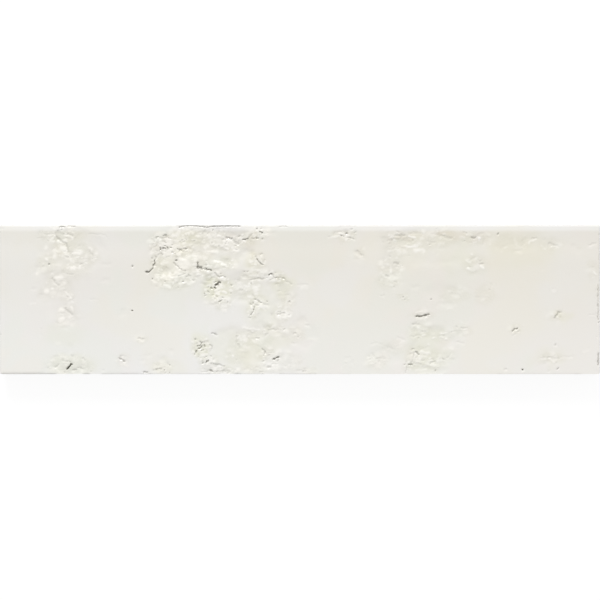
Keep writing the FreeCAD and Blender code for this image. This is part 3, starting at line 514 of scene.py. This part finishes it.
# Gloss and fine grain: roughness, grain size in millimetres, strength and height of the bump
SATIN_NOISE = (700, 3)
SATIN_LEVELS = (0.4, 0.6)
SATIN_ROUGHNESS = (0.38, 0.46)
CRUMBLE_GLOSS = 0.20
CRUMBLE_GRAIN = 4.0
GLAZE_IOR = 1.5
GLAZE_GRAIN = 0.7
GLAZE_BUMP = (0.25, 0.08 * MM)
BISCUIT_ROUGHNESS = 0.85
BISCUIT_GRAIN = 0.5
BISCUIT_BUMP = (0.6, 0.15 * MM)
GRAIN_DETAIL = 4

# Slow drifts of a fired colour: tint, noise scale, its detail, and the levels where it sets in
DRIFTS = [
    ((1.0, 0.988, 0.945, 1), 38, 3, 0.4, 0.6),
    ((1.0, 0.988, 0.982, 1), 27, 2, 0.5, 0.62),
    ((0.985, 0.995, 0.972, 1), 51, 2, 0.52, 0.62),
]
GLAZE_DRIFT = 0.8
BISCUIT_DRIFT = 1.0
SPECK = (0.55, 0.5, 0.42, 1)
SPECK_SCALE = 160
SPECK_EDGE = (0.05, 0.09)
SPECK_CHANCE = (0.9, 0.92)
BISCUIT_SPECKS = 0.8

# Studio, in metres and watts
LAMP_PLACE = (-0.20, 1.15, 0.80)
LAMP_SIZE = 0.7
LAMP_POWER = 14.1
WORLD_LIGHT = 0.685
FLOOR_SIZE = 6.0
FLOOR_DROP = 0.0002
FLOOR_GREY = (0.14, 0.14, 0.14, 1)
FLOOR_GLOW = 0.89
LENS = 150
SENSOR = 36
FRAME_DROP = 0.00016


# Shaping with edit-mode tools


def pick(obj):
    """Select one piece alone and make it the active one."""
    bpy.ops.object.select_all(action="DESELECT")
    obj.select_set(True)
    bpy.context.view_layer.objects.active = obj


def edit(obj):
    """Enter edit mode on one piece with nothing selected."""
    pick(obj)
    bpy.ops.object.mode_set(mode="EDIT")
    bpy.ops.mesh.select_all(action="DESELECT")


def done():
    bpy.ops.object.mode_set(mode="OBJECT")


def plate(size_x, size_y, place, cells=(1, 1)):
    """A flat gridded plate, its size and place in millimetres."""
    bpy.ops.object.select_all(action="DESELECT")
    location = [part * MM for part in place]
    bpy.ops.mesh.primitive_grid_add(
        x_subdivisions=cells[0], y_subdivisions=cells[1], size=1.0, location=location
    )
    flat = bpy.context.object
    flat.scale = (size_x * MM, size_y * MM, 1)
    bpy.ops.object.transform_apply(location=True, rotation=True, scale=True)
    return flat


def numbers_of(parts, name):
    """A three-number property of each corner or face, in millimetres, one row each."""
    flat = np.empty(len(parts) * 3)
    parts.foreach_get(name, flat)
    return flat.reshape(-1, 3) / MM


def refine(obj, wanted):
    """Halve the cells whose centres are wanted."""
    keep = wanted(numbers_of(obj.data.polygons, "center"))
    edit(obj)
    done()
    obj.data.polygons.foreach_set("select", keep)
    bpy.ops.object.mode_set(mode="EDIT")
    bpy.ops.mesh.select_mode(type="FACE")
    bpy.ops.mesh.subdivide(number_cuts=1)
    done()


def carry_rim(obj, rings):
    """Extrude the open rim through rings of (half length, half width, height) in millimetres."""
    edit(obj)
    bpy.ops.mesh.select_mode(type="EDGE")
    bpy.ops.mesh.select_non_manifold(
        extend=False, use_wire=False, use_multi_face=False,
        use_non_contiguous=False, use_verts=False,
    )
    half_x, half_y, height = rings[0]
    for ring_x, ring_y, ring_z in rings[1:]:
        bpy.ops.mesh.extrude_edges_move(
            TRANSFORM_OT_translate={"value": (0, 0, (ring_z - height) * MM)}
        )
        bpy.ops.transform.resize(
            value=(ring_x / half_x, ring_y / half_y, 1), center_override=(0, 0, 0)
        )
        half_x, half_y, height = ring_x, ring_y, ring_z
    bpy.ops.mesh.edge_face_add()
    done()


def round_corners(obj, radius):
    """Pull the four square corners of the plate in to a radius."""
    points = numbers_of(obj.data.vertices, "co")
    straight = np.array([TILE_LENGTH / 2 - radius, TILE_WIDTH / 2 - radius])
    out = np.abs(points[:, :2]) - straight
    near = np.all(out > 1e-6, axis=1)
    out = out[near]
    out *= (out.max(axis=1) / np.hypot(out[:, 0], out[:, 1]))[:, None]
    points[near, :2] = np.sign(points[near, :2]) * (straight + out)
    obj.data.vertices.foreach_set("co", (points * MM).ravel())
    obj.data.update()


# How far each place is pressed


def ramp(value):
    value = np.clip(value, 0.0, 1.0)
    return value * value * (3.0 - 2.0 * value)


def grain(points, length, width, seed, octaves=1):
    """Smooth random height from -1 to 1, longer along the tile than across it."""
    places = np.column_stack([points[:, 0] / length, points[:, 1] / width])
    if octaves == 1:
        return np.array([noise.noise((x, y, seed)) for x, y in places])
    steps = (OCTAVE_DROP, OCTAVE_STEP, octaves)
    return np.array([noise.fractal((x, y, seed), *steps) for x, y in places])


def wander(points, steps):
    """The same places, each moved a little, so that drawn outlines turn ragged."""
    for amount, size, seed in steps:
        moved = points.copy()
        moved[:, 0] += amount * grain(points, size, size, seed)
        moved[:, 1] += amount * grain(points, size, size, seed + ACROSS_SEED)
        points = moved
    return points


def worn_away(points, length, width, seed, contrast, most):
    """The share that wear has taken of each place, in small patches."""
    return most * ramp(0.5 - contrast * grain(points, length, width, seed))


def waves(points):
    x, y = points[:, 0], points[:, 1]
    turn = 2 * math.pi / WAVE_LENGTH
    return 0.5 + 0.25 * (np.sin(turn * x) + np.cos(turn * (y + WAVE_SLANT * x)))


def fall(inset, steps):
    """How far below the face a place at an inset from the side lies, in millimetres."""
    steps = sorted(steps)
    return np.interp(inset, [step for step, _ in steps], [drop for _, drop in steps])


def rolled_rim(points):
    return fall(TILE_WIDTH / 2 - points[:, 1], RIM_PROFILE)


def arris_drop(points):
    ends = TILE_LENGTH / 2 - np.abs(points[:, 0])
    sides = TILE_WIDTH / 2 - np.abs(points[:, 1])
    return fall(np.minimum(ends, sides), ARRIS_STEPS)


def rim_hollow(points):
    from_top = TILE_WIDTH / 2 - points[:, 1]
    return np.exp(-(((from_top - HOLLOW_CENTRE) / HOLLOW_WIDTH) ** 2))


def broken(points):
    """Depth of the broken patches at each place, as a share of the deepest."""
    depth = np.zeros(len(points))
    for centre_x, centre_y, half_length, half_width, turn, share in BROKEN_PATCHES:
        angle = math.radians(turn)
        dx, dy = points[:, 0] - centre_x, points[:, 1] - centre_y
        along = dx * math.cos(angle) + dy * math.sin(angle)
        across = dy * math.cos(angle) - dx * math.sin(angle)
        inside = 1.0 - np.hypot(along / half_length, across / half_width)
        reach = inside * min(half_length, half_width) / BROKEN_FLANK
        depth = np.maximum(depth, share * ramp(reach))
    return depth


def rubble(points, size, seed):
    """Rounded grains: 1 on their tops, 0 in the creases between them."""
    height = np.empty(len(points))
    for index, (x, y) in enumerate(points[:, :2] / size):
        nearest, second = noise.voronoi((x, y, seed))[0][:2]
        height[index] = second - nearest
    return np.clip(height / CREASE_GAP, 0.0, 1.0)


def covered(points, places, reach, fade=1.0):
    """How far each point lies in the given places, from 0 to each place's own share."""
    share = np.zeros(len(points))
    for centre_x, centre_y, half_length, half_width, amount, *_ in places:
        out_x = (points[:, 0] - centre_x) / half_length
        out_y = (points[:, 1] - centre_y) / half_width
        share = np.maximum(share, amount * ramp((reach - np.hypot(out_x, out_y)) / fade))
    return share


def crumbled(points):
    return covered(points, CRUMBLED, CRUMBLE_REACH, CRUMBLE_FADE)


def arris_left(points):
    """1 where the arris is whole, 0 where it has broken away."""
    share = np.ones(len(points))
    ragged = wander(points, ARRIS_WANDER)
    for side, stretches in ((-1, LOWER_ARRIS), (1, UPPER_ARRIS)):
        for start, end, left in stretches:
            inside = np.minimum(ragged[:, 0] - start, end - ragged[:, 0])
            lost = (1.0 - left) * ramp(0.5 + inside / ARRIS_BREAK) * (np.sign(points[:, 1]) == side)
            share = np.minimum(share, 1.0 - lost)
    return share


# Marks and crumbs


def line_of(numbers):
    """The points of a line from its x and y in turn."""
    return list(zip(numbers[::2], numbers[1::2]))


def dropped(dice, zone, kind):
    """A lump or pit dropped at random in a zone: height, half width and its line's two ends."""
    centre_x, centre_y, half_length, half_width, tall = zone
    half_widths, heights, longest = kind
    turn, out = dice.uniform(0, 2 * math.pi), dice.random() ** OUTWARD_POWER
    x = centre_x + half_length * out * math.cos(turn)
    y = centre_y + half_width * out * math.sin(turn)
    slant, reach = dice.gauss(0, SLANT), 0.5 * longest * dice.random() ** 2
    run_x, run_y = reach * math.cos(slant), reach * math.sin(slant)
    height, half = tall * dice.uniform(*heights), dice.uniform(*half_widths)
    return height, half, x - run_x, y - run_y, x + run_x, y + run_y


def scattered():
    """All random lumps and crumbs, and all random pits, the same in each run."""
    raised, pits = [], []
    for *zone, lump_count, crumb_count, pit_count in CRUMBLED:
        dice = random.Random(round(10 * zone[0] + 7 * zone[1]))
        raised += [dropped(dice, zone, LUMP) for _ in range(lump_count)]
        raised += [dropped(dice, zone, CRUMB) for _ in range(crumb_count)]
        pits += [dropped(dice, zone, PIT) for _ in range(pit_count)]
        pits += [dropped(dice, zone, HOLLOW) for _ in range(lump_count // 2)]
    return raised, pits


def struck_share(points, numbers, half_width, skew=0.0):
    """1 on a struck line and 0 beyond its edge; with skew, steep towards the upper edge."""
    line = line_of(numbers)
    low = np.min(line, axis=0) - 2 * half_width
    high = np.max(line, axis=0) + 2 * half_width
    near = np.flatnonzero(np.all((points[:, :2] > low) & (points[:, :2] < high), axis=1))
    share = np.zeros(len(points))
    places = points[near, :2]
    best = np.full(len(near), np.inf)
    for start, end in zip(line, line[1:] + line[-1:]):
        start, run = np.array(start, float), np.array(end, float) - np.array(start, float)
        part = np.clip((places - start) @ run / max(run @ run, 1e-9), 0.0, 1.0)
        offset = places - start - part[:, None] * run
        distance = np.hypot(offset[:, 0], offset[:, 1])
        towards = (offset @ np.array(STEEP_SIDE)) / np.maximum(distance, 1e-6)
        best = np.minimum(best, distance / (half_width * (1.0 - skew * towards)))
    share[near] = 1.0 - ramp(best)
    return share


def firmness(dark, half_width):
    """1 for a crisp mark; faint narrow marks are softer, broader and shallower."""
    if half_width > BROAD_MARK:
        return 1.0
    return SOFTEST + (1.0 - SOFTEST) * min(1.0, dark / FIRM_DARKNESS)


def near_marks(points):
    """Places that need small cells: the broken patches, the rim and every drawn mark."""
    wanted = (broken(points) > TRACE) | (crumbled(points) > TRACE)
    wanted |= points[:, 1] > TILE_WIDTH / 2 - RIM_PROFILE[-1][0] - RIM_MARGIN
    for depth, half_width, dark, *line in STRUCK:
        wanted |= struck_share(points, line, half_width + MARK_MARGIN) > TRACE
    for height, half_width, *line in PROUD:
        wanted |= struck_share(points, line, half_width + LUMP_MARGIN) > TRACE
    return wanted


def near_crumbs(points):
    """Places that need the smallest cells: crumbled ground and narrow marks."""
    wanted = crumbled(points) > FINEST_CRUMBLE
    for depth, half_width, dark, *line in STRUCK:
        if half_width < NARROW_MARK:
            wanted |= struck_share(points, line, half_width + FINE_MARGIN) > TRACE
    return wanted


# The tile


def cut_keys(obj):
    """Cut six drafted, round-ended keys into the back."""
    length = TILE_LENGTH - 2 * KEY_TO_END
    first_y = -KEY_PITCH * (KEY_COUNT - 1) / 2
    bars = plate(length, KEY_WIDTH, (0, first_y, -CUT_BEYOND))
    edit(bars)
    bpy.ops.mesh.select_all(action="SELECT")
    bpy.ops.mesh.bevel(
        affect="VERTICES", offset=KEY_END_SHARE * KEY_WIDTH * MM, segments=KEY_END_STEPS
    )
    bpy.ops.mesh.select_all(action="SELECT")
    bpy.ops.mesh.extrude_region_move(
        TRANSFORM_OT_translate={"value": (0, 0, (KEY_DEPTH + CUT_BEYOND) * MM)}
    )
    bpy.ops.transform.resize(
        value=(1 - 2 * KEY_DRAFT / length, 1 - 2 * KEY_DRAFT / KEY_WIDTH, 1),
        center_override=(0, first_y * MM, 0),
    )
    bpy.ops.mesh.select_all(action="SELECT")
    bpy.ops.mesh.normals_make_consistent(inside=False)
    done()
    row = bars.modifiers.new("row", "ARRAY")
    row.use_relative_offset = False
    row.use_constant_offset = True
    row.constant_offset_displace = (0, KEY_PITCH * MM, 0)
    row.count = KEY_COUNT
    bpy.ops.object.modifier_apply(modifier=row.name)
    cut = obj.modifiers.new("keys", "BOOLEAN")
    cut.operation = "DIFFERENCE"
    cut.solver = "EXACT"
    cut.object = bars
    pick(obj)
    bpy.ops.object.modifier_apply(modifier=cut.name)
    bpy.data.objects.remove(bars)


def make_blank():
    """The plate with its fine face, plain wall, drafted foot and keyed back."""
    inset = ARRIS_STEPS[0][0]
    length, width = TILE_LENGTH - 2 * inset, TILE_WIDTH - 2 * inset
    cells = (round(length / GRID_PITCH), round(width / GRID_PITCH))
    blank = plate(length, width, (0, 0, FACE_HEIGHT), cells)
    blank.name = blank.data.name = "tile_glazed_brick"
    refine(blank, near_marks)
    refine(blank, near_crumbs)
    half_x, half_y = TILE_LENGTH / 2, TILE_WIDTH / 2
    rings = [(half_x - step, half_y - step, FACE_HEIGHT) for step, _ in ARRIS_STEPS]
    rings.append((half_x, half_y, FACE_HEIGHT - WALL_BELOW_FACE))
    rings.append((half_x, half_y, FOOT_HEIGHT))
    rings.append((half_x - FOOT_INSET, half_y - FOOT_INSET, 0.0))
    carry_rim(blank, rings)
    round_corners(blank, CORNER_RADIUS)
    cut_keys(blank)
    return blank


def press(obj, name, share, depth):
    """Press the face down, or lift it where depth is below 0, by a painted share of depth."""
    group = obj.vertex_groups.new(name=name)
    for index in np.flatnonzero(share > FAINTEST):
        group.add([int(index)], float(share[index]), "REPLACE")
    stamp = obj.modifiers.new(name, "DISPLACE")
    stamp.direction = "Z"
    stamp.mid_level = 0.0
    stamp.strength = -depth * MM
    stamp.vertex_group = group.name
    bpy.context.view_layer.objects.active = obj
    bpy.ops.object.modifier_apply(modifier=stamp.name)
    obj.vertex_groups.remove(obj.vertex_groups[name])


def remember(obj, name, values):
    """Keep a value for each point, for the glaze to read."""
    layer = obj.data.attributes.new(name, "FLOAT", "POINT")
    layer.data.foreach_set("value", values.astype(np.float32))


def press_forms(tile, points, on_face, crumbly):
    """Press the waves, the rim, the broken patches and their unevenness into the face."""
    depth = broken(wander(points, PATCH_WANDER))
    wear = np.minimum(1.0, depth / FULL_WEAR)
    low = np.maximum(rolled_rim(points), BROKEN_DEPTH * depth)
    swells = np.clip(0.5 + 0.5 * grain(wander(points, SWELL_WANDER), *SWELLS), 0, 1)
    creases = 1 - rubble(wander(points, GRAIN_WANDER), GRAIN_SIZE, GRAIN_SEED)
    press(tile, "waves", on_face * waves(points), WAVE_HEIGHT)
    press(tile, "rim hollow", on_face * rim_hollow(points), HOLLOW_DEPTH)
    press(tile, "rim and broken patches", on_face * low, 1.0)
    press(tile, "swells", on_face * swells * wear, SWELL_HEIGHT)
    press(tile, "grains", on_face * creases * crumbly, GRAIN_HEIGHT)
    press(tile, "arris", on_face * arris_drop(points) * arris_left(points), 1.0)


def struck_depth(points, pits):
    """How deep the struck marks and pits go at each place, and how much painted shade and grime
    darken them.
    """
    inland = ramp((TILE_WIDTH / 2 - np.abs(points[:, 1])) / STRAIGHT_EDGE)[:, None]
    drawn = points + inland * (wander(points, MARK_WANDER) - points)
    worn = worn_away(points, *MARK_WEAR)
    struck, shade_and_grime = np.zeros(len(points)), np.zeros(len(points))
    for deep, half_width, dark, *line in STRUCK:
        firm = firmness(dark, half_width)
        spread = (SOFT_SPREAD - FIRM_NARROWING * firm) * half_width
        share = struck_share(drawn, line, spread, MARK_SKEW)
        share = np.clip((share - worn) / (1.0 - worn), 0.0, 1.0)
        struck += firm * deep * share
        # Darken the crack with painted shade and grime
        shade_and_grime = np.maximum(shade_and_grime, firm * dark * share)
    for deep, half_width, *line in pits:
        share = struck_share(drawn, line, half_width, MARK_SKEW)
        struck = np.maximum(struck, deep * share)
        shade_and_grime = np.maximum(shade_and_grime, PIT_DARKNESS * deep * share * share)
    return np.minimum(struck, DEEPEST_MARK), shade_and_grime


def proud_height(points, raised):
    """How high the lumps and crumbs stand at each place."""
    softly = wander(points, LUMP_WANDER)
    patchy = 1.0 - worn_away(points, *LUMP_WEAR)
    proud = np.zeros(len(points))
    for high, half_width, *line in raised + PROUD:
        share = patchy * struck_share(softly, line, half_width, LUMP_SKEW)
        proud = np.maximum(proud, high * share)
    return proud


def press_face(tile):
    """Press the forms, crumbs and marks into the face, and note what the glaze has to show."""
    points = numbers_of(tile.data.vertices, "co")
    on_face = points[:, 2] > FACE_HEIGHT - LEVEL_TOLERANCE
    crumbly = crumbled(wander(points, CRUMBLE_WANDER))
    press_forms(tile, points, on_face, crumbly)
    raised, pits = scattered()
    struck, shade_and_grime = struck_depth(points, pits)
    proud = proud_height(points, raised)
    press(tile, "struck marks", on_face * struck, 1.0)
    room = TILE_THICKNESS - TOP_CLEARANCE - numbers_of(tile.data.vertices, "co")[:, 2]
    press(tile, "proud places", on_face * np.clip(LUMP_RELIEF * proud, 0.0, room), -1.0)
    blurred = wander(points, STAIN_WANDER)
    # Painted shade and grime in the cracks and pits, for the glaze to read
    remember(tile, "shade_and_grime", on_face * shade_and_grime)
    remember(tile, "crumbly", on_face * crumbly)
    # Painted highlight and paler glaze on the tops of lumps, by their height
    remember(tile, "pale", on_face * np.clip(proud / PALE_AND_HIGHLIGHT_HEIGHT, 0.0, 1.0))
    remember(tile, "pooled", on_face * covered(blurred, POOLED, STAIN_REACH))
    remember(tile, "flushed", on_face * covered(blurred, FLUSHED, STAIN_REACH))


def make_tile():
    tile = make_blank()
    press_face(tile)
    pick(tile)
    bpy.ops.object.shade_smooth_by_angle(angle=math.radians(SMOOTH_ANGLE))
    return tile


# Materials


class Wiring:
    """Adds and joins the nodes of one material or group."""

    def __init__(self, tree):
        self.tree = tree

    def add(self, kind, **settings):
        node = self.tree.nodes.new(kind)
        for name, value in settings.items():
            setattr(node, name, value)
        return node

    def join(self, source, target):
        self.tree.links.new(source, target)

    def feed(self, node, socket, value):
        if isinstance(value, bpy.types.NodeSocket):
            self.join(value, node.inputs[socket])
        else:
            node.inputs[socket].default_value = value

    def placed(self, kind, values, **settings):
        """A node with its inputs fed from a dictionary."""
        node = self.add(kind, **settings)
        for socket, value in values.items():
            self.feed(node, socket, value)
        return node

    def math(self, operation, a, b):
        return self.placed("ShaderNodeMath", {0: a, 1: b}, operation=operation).outputs[0]

    def noise(self, where, scale, detail):
        values = {"Vector": where, "Scale": scale, "Detail": detail}
        return self.placed("ShaderNodeTexNoise", values).outputs["Fac"]

    def spread(self, value, low, high, to_low=0.0, to_high=1.0):
        values = {"Value": value, "From Min": low, "From Max": high}
        values |= {"To Min": to_low, "To Max": to_high}
        node = self.placed("ShaderNodeMapRange", values, interpolation_type="SMOOTHSTEP")
        return node.outputs["Result"]

    def blend(self, factor, a, b, how="MIX"):
        values = {0: factor, 6: a, 7: b}
        node = self.placed("ShaderNodeMix", values, data_type="RGBA", blend_type=how)
        return node.outputs[2]

    def attribute(self, name):
        return self.add("ShaderNodeAttribute", attribute_name=name).outputs["Fac"]


def start_group(name, sockets):
    """A node group with named sockets, and the nodes that stand for its inputs and outputs."""
    group = bpy.data.node_groups.new(name, "ShaderNodeTree")
    for socket, kind, side in sockets:
        group.interface.new_socket(socket, in_out=side, socket_type=kind)
    w = Wiring(group)
    return group, w, w.add("NodeGroupInput").outputs, w.add("NodeGroupOutput").inputs


def kiln_tint_group():
    """Slow drift of a fired colour between cream, pink and green, with a few small specks."""
    group, w, given, out = start_group("kiln tint", (
        ("Place", "NodeSocketVector", "INPUT"),
        ("Colour", "NodeSocketColor", "INPUT"),
        ("Drift", "NodeSocketFloat", "INPUT"),
        ("Speck Share", "NodeSocketFloat", "INPUT"),
        ("Colour", "NodeSocketColor", "OUTPUT"),
    ))
    place, colour = given["Place"], given["Colour"]
    mixed = colour
    for tint, scale, detail, low, high in DRIFTS:
        cloud = w.spread(w.noise(place, scale, detail), low, high)
        tinted = w.blend(1.0, colour, tint, "MULTIPLY")
        mixed = w.blend(w.math("MULTIPLY", cloud, given["Drift"]), mixed, tinted)
    dots = w.placed("ShaderNodeTexVoronoi", {"Vector": place, "Scale": SPECK_SCALE})
    near = w.spread(dots.outputs["Distance"], *SPECK_EDGE, 1.0, 0.0)
    chosen = w.spread(dots.outputs["Color"], *SPECK_CHANCE)
    specks = w.math("MULTIPLY", w.math("MULTIPLY", near, chosen), given["Speck Share"])
    w.join(w.blend(specks, mixed, SPECK), out["Colour"])
    return group


def fine_grain_group():
    """Height of a fired surface's fine grain."""
    group, w, given, out = start_group("fine grain", (
        ("Place", "NodeSocketVector", "INPUT"),
        ("Grain Size", "NodeSocketFloat", "INPUT"),
        ("Height", "NodeSocketFloat", "OUTPUT"),
    ))
    scale = w.math("DIVIDE", 1 / MM, given["Grain Size"])
    w.join(w.noise(given["Place"], scale, GRAIN_DETAIL), out["Height"])
    return group


def start_material(name):
    material = bpy.data.materials.new(name)
    material.use_nodes = True
    material.node_tree.nodes.clear()
    return material, Wiring(material.node_tree)


def start_fired(name):
    """A material with a Principled shader, its place on the tile, and its wiring."""
    material, w = start_material(name)
    shader = w.add("ShaderNodeBsdfPrincipled")
    w.placed("ShaderNodeOutputMaterial", {"Surface": shader.outputs["BSDF"]})
    return material, w, shader, w.add("ShaderNodeTexCoord").outputs["Object"]


def place_group(w, group, values):
    return w.placed("ShaderNodeGroup", values, node_tree=group).outputs[0]


def roughen(w, shader, height, strength, distance):
    """Bump the shader's normal by a height."""
    values = {"Strength": strength, "Distance": distance, "Height": height}
    w.join(w.placed("ShaderNodeBump", values).outputs["Normal"], shader.inputs["Normal"])


def glaze_colour(w, place):
    """The glaze from edge to edge, with its pooled, flushed and crumbled places, and pale places
    that are paler glaze with a painted highlight on raised lumps.
    """
    parts = w.placed("ShaderNodeSeparateXYZ", {"Vector": place}).outputs
    cloud = w.spread(w.noise(place, *RISE_NOISE), *RISE_LEVELS)
    ragged = w.math("ADD", parts["Y"], w.math("MULTIPLY", cloud, RISE_RAGGED))
    base = w.blend(w.spread(ragged, *RISE_SPAN), LOWER_GLAZE, UPPER_GLAZE)
    cooler = w.blend(1.0, base, COOL_END, "MULTIPLY")
    base = w.blend(w.spread(parts["X"], *COOL_SPAN), cooler, base)
    for name, tint in (
        ("pooled", POOLED_TINT), ("flushed", FLUSHED_TINT), ("crumbly", CRUMBLED_TINT)
    ):
        base = w.blend(w.attribute(name), base, tint, "MULTIPLY")
    base = w.blend(w.spread(parts["Y"], *RIM_SPAN), base, RIM_GLAZE)
    # Raised places are paler glaze with a painted highlight on their tops
    return w.blend(w.math("MULTIPLY", w.attribute("pale"), PALE_AND_HIGHLIGHT_SHARE), base, PALE_GLAZE_AND_HIGHLIGHT)


def make_glaze(tint, grain_group):
    material, w, shader, place = start_fired("off-white satin glaze")
    plain = glaze_colour(w, place)
    fired = place_group(w, tint, {
        "Place": place, "Colour": plain, "Drift": GLAZE_DRIFT, "Speck Share": 0.0,
    })
    # Painted shade and grime darken the cracks and pits
    shade_and_dirt = w.math("MULTIPLY", w.spread(w.attribute("shade_and_grime"), *CREVICE_SHADE_AND_GRIME_SPAN), CREVICE_SHADE_AND_GRIME_SHARE)
    w.join(w.blend(shade_and_dirt, fired, CREVICE_SHADE_AND_GRIME), shader.inputs["Base Color"])
    crumbly = w.attribute("crumbly")
    cloud = w.spread(w.noise(place, *SATIN_NOISE), *SATIN_LEVELS)
    satin = w.spread(cloud, 0.0, 1.0, *SATIN_ROUGHNESS)
    glossier = w.math("SUBTRACT", satin, w.math("MULTIPLY", crumbly, CRUMBLE_GLOSS))
    w.join(glossier, shader.inputs["Roughness"])
    shader.inputs["IOR"].default_value = GLAZE_IOR
    fine = place_group(w, grain_group, {"Place": place, "Grain Size": GLAZE_GRAIN})
    rougher = w.math("ADD", 1.0, w.math("MULTIPLY", crumbly, CRUMBLE_GRAIN))
    roughen(w, shader, w.math("MULTIPLY", fine, rougher), *GLAZE_BUMP)
    return material


def make_biscuit(tint, grain_group):
    material, w, shader, place = start_fired("bare pale biscuit")
    fired = place_group(w, tint, {
        "Place": place, "Colour": BISCUIT, "Drift": BISCUIT_DRIFT, "Speck Share": BISCUIT_SPECKS,
    })
    w.join(fired, shader.inputs["Base Color"])
    shader.inputs["Roughness"].default_value = BISCUIT_ROUGHNESS
    fine = place_group(w, grain_group, {"Place": place, "Grain Size": BISCUIT_GRAIN})
    roughen(w, shader, fine, *BISCUIT_BUMP)
    return material


def dress(tile):
    """Glaze on the face and wall, bare biscuit on the foot and back."""
    tint, grain_group = kiln_tint_group(), fine_grain_group()
    tile.data.materials.clear()
    tile.data.materials.append(make_glaze(tint, grain_group))
    tile.data.materials.append(make_biscuit(tint, grain_group))
    for face in tile.data.polygons:
        face.material_index = 0 if face.center.z > FOOT_HEIGHT * MM else 1


# Studio


def make_floor():
    """A grey floor that glows to white for the camera and keeps the tile's shadow."""
    bpy.ops.object.select_all(action="DESELECT")
    bpy.ops.mesh.primitive_plane_add(size=FLOOR_SIZE, location=(0, 0, -FLOOR_DROP))
    floor = bpy.context.object
    floor.name = "studio_floor"
    material, w = start_material("white studio floor")
    paper = w.placed("ShaderNodeBsdfDiffuse", {"Color": FLOOR_GREY})
    seen = w.add("ShaderNodeLightPath").outputs
    rays = w.math("MAXIMUM", seen["Is Camera Ray"], seen["Is Glossy Ray"])
    glow = w.placed("ShaderNodeEmission", {"Strength": w.math("MULTIPLY", rays, FLOOR_GLOW)})
    both = w.placed("ShaderNodeAddShader", {0: paper.outputs[0], 1: glow.outputs[0]})
    w.placed("ShaderNodeOutputMaterial", {"Surface": both.outputs[0]})
    floor.data.materials.append(material)


def make_lamp():
    """One soft window light from beyond the upper edge."""
    lamp = bpy.data.lights.new("window", "AREA")
    lamp.shape = "DISK"
    lamp.size = LAMP_SIZE
    lamp.energy = LAMP_POWER
    obj = bpy.data.objects.new("window", lamp)
    bpy.context.collection.objects.link(obj)
    obj.location = LAMP_PLACE
    obj.rotation_euler = (-Vector(LAMP_PLACE)).to_track_quat("-Z", "Y").to_euler()


def make_world():
    world = bpy.data.worlds.new("studio")
    world.use_nodes = True
    bpy.context.scene.world = world
    sky = world.node_tree.nodes["Background"]
    sky.inputs["Color"].default_value = (1, 1, 1, 1)
    sky.inputs["Strength"].default_value = WORLD_LIGHT


def make_camera():
    """Straight above, the tile's length filling the frame."""
    lens = bpy.data.cameras.new("camera")
    lens.lens = LENS
    lens.sensor_width = SENSOR
    camera = bpy.data.objects.new("camera", lens)
    bpy.context.collection.objects.link(camera)
    height = (TILE_THICKNESS + TILE_LENGTH * LENS / SENSOR) * MM
    camera.location = (0, -FRAME_DROP, height)
    bpy.context.scene.camera = camera


make_camera()
tile = make_tile()
dress(tile)
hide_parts("wall_tile")
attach(tile, "root")
make_floor()
make_lamp()
make_world()
bpy.context.scene.view_settings.view_transform = "Standard"
